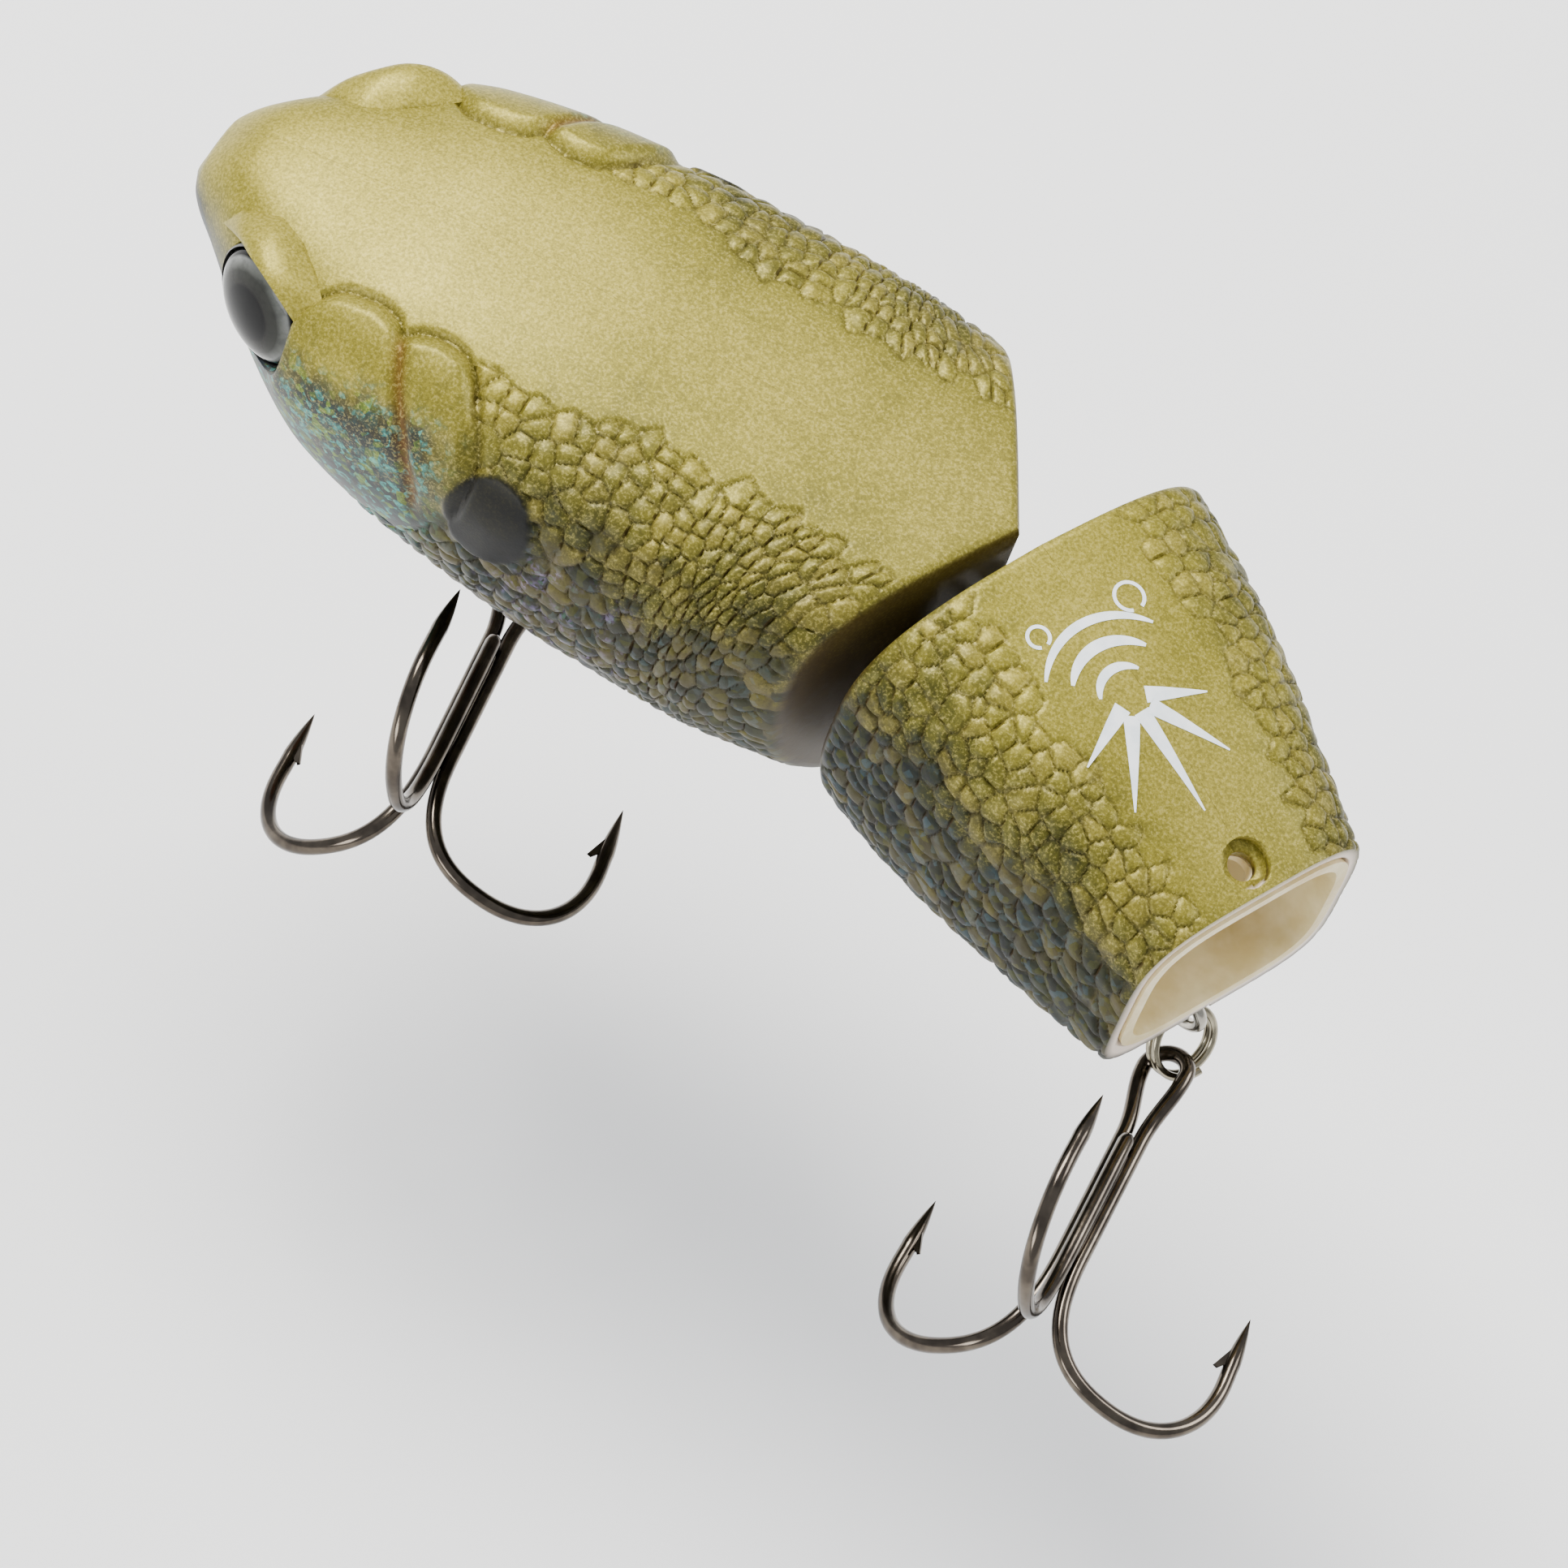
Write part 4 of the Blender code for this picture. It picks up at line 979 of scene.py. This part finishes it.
def hook_arm(direction, down):
    """Wire centre line from the shank round the bend to the point, and its radii."""
    def at(radial, along):
        return direction * radial + down * along

    mid = HOOK_SPREAD * 0.54
    start = at(SHANK_OFFSET, SHANK_END)
    bottom = at(mid, HOOK_LENGTH)
    rise = at(HOOK_SPREAD + 0.3, HOOK_LENGTH - 7.6)
    tip = at(HOOK_SPREAD - 0.1, HOOK_LENGTH - 13.6)
    first = bezier(start, at(SHANK_OFFSET, HOOK_LENGTH - 2.2), at(mid * 0.42, HOOK_LENGTH), bottom, 22)
    second = bezier(bottom, at(mid * 1.55, HOOK_LENGTH), at(HOOK_SPREAD + 0.5, HOOK_LENGTH - 3.2), rise, 22)
    straight = [rise + (tip - rise) * k / 16 for k in range(1, 17)]
    points = np.concatenate([[start], first, second, straight])
    radii = np.full(len(points), HOOK_WIRE)
    taper = np.linspace(0, 1, 12)
    radii[-12:] = HOOK_WIRE * (1 - taper ** 1.5) + 0.02
    return points, radii


def hook_pieces(prefix, link, black):
    down = unit(link["shank"])
    up = unit(np.array(link["arm"]) - down * np.dot(link["arm"], down))
    side = np.cross(down, up)
    base = np.array(link["hanger"], float) + link["eye"]
    arms = [side * math.cos(math.radians(a)) + up * math.sin(math.radians(a)) for a in (210, 330)]
    twist = math.radians(link["twist"])
    flat = side * math.cos(twist) + up * math.sin(twist)
    angle = np.linspace(-math.pi / 2, math.pi / 2, 25)[:, None]
    top = flat * (EYE_HALF * np.sin(angle)) + down * (EYE_HALF * (1 - np.cos(angle)))
    starts = [(arms[0], -1.0), (arms[1], 1.0)]
    if arms[0].dot(flat) > 0:
        starts = [(arms[1], -1.0), (arms[0], 1.0)]
    legs = []
    for direction, sign in starts:
        upper = flat * (EYE_HALF * sign) + down * EYE_HALF
        lower = direction * SHANK_OFFSET + down * EYE_END
        legs.append(bezier(upper, upper + down * 2.2, lower - down * 2.6, lower, 14))
    points_a, radii_a = hook_arm(starts[0][0], down)
    points_b, radii_b = hook_arm(starts[1][0], down)
    middle = np.concatenate([legs[0][::-1], top, legs[1]])
    path = np.concatenate([points_a[::-1], middle, points_b])
    radii = np.concatenate([radii_a[::-1], np.full(len(middle), HOOK_WIRE), radii_b])
    pieces = [tube(f"{prefix}_double_wire", base + path, radii, link["tail"])]
    for direction, _ in starts:
        pieces.append(barb(f"{prefix}_barb", base, direction, down, link["tail"]))
    braze = np.array([base + down * t for t in np.linspace(EYE_END + 0.8, SHANK_END + 1.2, 10)])
    width = [0.35, 0.62] + [0.66] * 6 + [0.6, 0.25]
    pieces.append(tube(f"{prefix}_braze", braze, width, link["tail"]))
    body = f"{prefix}_hook"
    dress(join(f"{prefix}_hook_pair", pieces), black, body, "black_nickel", f"{prefix}_hook_double")
    points, radii = hook_arm(up, down)
    start = up * (SHANK_OFFSET + 0.12) + down * (EYE_END + 0.6)
    lead = np.array([start + (points[0] - start) * t for t in (0, 0.02, 0.06, 0.3, 0.6)])
    path = np.concatenate([lead, points])
    radii = np.concatenate([[0.3, 0.5, HOOK_WIRE, HOOK_WIRE, HOOK_WIRE], radii])
    pieces = [tube(f"{prefix}_single_wire", base + path, radii, link["tail"]),
              barb(f"{prefix}_barb_up", base, up, down, link["tail"])]
    dress(join(f"{prefix}_hook_third", pieces), black, body, "black_nickel", f"{prefix}_hook_single")


def barb(name, base, direction, down, tail):
    """Sliver raised from the inner side of the point."""
    across = np.cross(direction, down)
    foot = HOOK_LENGTH - 9.3
    inner = HOOK_SPREAD + 0.2
    shape = [(inner, foot - 2.9), (inner - HOOK_WIRE - 0.75, foot + 0.75), (inner - HOOK_WIRE - 0.1, foot + 0.1),
             (inner, foot + 0.5)]
    rings = []
    for offset, shrink in ((-0.17, 0.7), (-0.08, 1.0), (0.08, 1.0), (0.17, 0.7)):
        ring = [direction * (inner + (radial - inner) * shrink) + down * along + across * offset
                for radial, along in shape]
        rings.append(base + np.array(ring))
    return ring_body(name, place(np.concatenate(rings), tail), 4, 4, 30.0)


def build_ring(prefix, link, steel):
    """Split ring: two turns of round spring wire."""
    normal = unit(link["ring_normal"])
    middle = np.array(link["ring_center"], float)
    reach = unit(middle - normal * middle.dot(normal))
    across = np.cross(normal, reach)
    turn = np.linspace(0, 2, 130)[:, None]
    angle = 2 * np.pi * turn + math.radians(60)
    path = (np.array(link["hanger"]) + middle + reach * (RING_RADIUS * np.cos(angle))
            + across * (RING_RADIUS * np.sin(angle)) + normal * ((turn - 1.0) * RING_PITCH))
    item = tube(f"{prefix}_ring_coil", path, [RING_WIRE] * len(path), link["tail"], 12)
    dress(item, steel, f"{prefix}_ring", "split_ring_steel", f"{prefix}_split_ring")


def finish_cad_nodes(steel, lead, brass):
    finishes = {"hinge_pin": steel, "rattle_ball": steel, "rattle_tube": brass, "belly_weight": lead,
                "tail_weight": lead}
    for node, finish in finishes.items():
        data = frame["nodes"][node].data
        data.materials.clear()
        data.materials.append(finish)


# ---------------------------------------------------------------- studio


def build_camera():
    """High on the left, a little towards the tail, rolled."""
    right = Vector((0.864, 0.4636, 0.1965)).normalized()
    forward = Vector((-0.0835, 0.5169, -0.852))
    forward = (forward - right * forward.dot(right)).normalized()
    upward = right.cross(forward)
    data = bpy.data.cameras.new("camera")
    data.lens = 200.2
    data.sensor_width = 36.0
    data.clip_end = 20.0
    item = new_object("camera", data)
    turn = Matrix((right, upward, -forward)).transposed().to_4x4()
    item.matrix_world = Matrix.Translation(Vector(place([47.1, -348.0, 526.2])[0])) @ turn
    bpy.context.scene.camera = item


def area_light(name, location, target, size, power, color=(1, 1, 1)):
    data = bpy.data.lights.new(name, "AREA")
    data.shape = "RECTANGLE"
    data.size = size[0]
    data.size_y = size[1]
    data.energy = power
    data.color = color
    item = new_object(name, data)
    item.location = location
    item.rotation_euler = (Vector(target) - Vector(location)).to_track_quat("-Z", "Y").to_euler()


def build_studio():
    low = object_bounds()[0]
    data = bpy.data.meshes.new("floor")
    half = 3.0
    z = low[2] - HOOK_LENGTH * MM       # clear of the hooks when they swing down
    data.from_pydata([(-half, -half, z), (half, -half, z), (half, half, z), (-half, half, z)], [], [(0, 1, 2, 3)])
    floor = new_object("floor", data)
    g = Graph("studio_floor")
    floor.data.materials.append(g.finish(srgb(252, 252, 252), 0.9))
    world = bpy.data.worlds.new("studio")
    world.use_nodes = True
    world.node_tree.nodes["Background"].inputs["Color"].default_value = (0.92, 0.95, 1.0, 1.0)
    world.node_tree.nodes["Background"].inputs["Strength"].default_value = 0.8
    bpy.context.scene.world = world
    middle = (0.05, -0.01, 0.0)
    area_light("key", (-0.35, 0.25, 0.75), middle, (0.5, 0.35), 15.5, (1.0, 0.98, 0.94))
    area_light("side", (-0.2, -0.75, 0.25), middle, (0.5, 0.25), 3.5)
    area_light("back", (0.55, 0.35, 0.45), middle, (0.3, 0.3), 3.0)


def main():
    front_paint = body_paint("front_paint", False)
    tail_paint = body_paint("tail_paint", True)
    steel = plated_wire("bright_steel", srgb(150, 146, 136), srgb(196, 190, 178), 0.16)
    ring_steel = plated_wire("ring_steel", srgb(112, 106, 90), srgb(168, 160, 138), 0.14)
    nickel = plated_wire("black_nickel", srgb(66, 60, 54), srgb(96, 88, 78), 0.12)
    bare = bare_plastic("bone_plastic")
    ink = plain_paint("white_ink", srgb(240, 244, 246), srgb(222, 230, 234), 0.5)
    # plain black for the ring that stands in for the eye sockets' shadow (painted shade)
    socket_shade_black = plain_paint("painted_socket_shade", srgb(14, 14, 14), srgb(24, 24, 24), 0.3)
    lead = plain_paint("cast_weight", srgb(120, 120, 122), srgb(96, 96, 98), 0.5, 0.8)
    brass = plated_wire("rattle_brass", srgb(190, 150, 80), srgb(210, 176, 104), 0.25)
    build_front(front_paint)
    for side, word in SIDES:
        build_brow(side, word, front_paint)
    build_eyes(printed_eye("printed_iris", 0.3, 0.0), printed_eye("iris_through_lens", 0.06, 0.14), socket_shade_black)
    build_tail(tail_paint, bare)
    build_mark(ink)
    build_wires(steel)
    for prefix, link in LINKS.items():
        build_ring(prefix, link, ring_steel)
        hook_pieces(prefix, link, nickel)
    finish_cad_nodes(steel, lead, brass)
    build_studio()
    build_camera()


main()
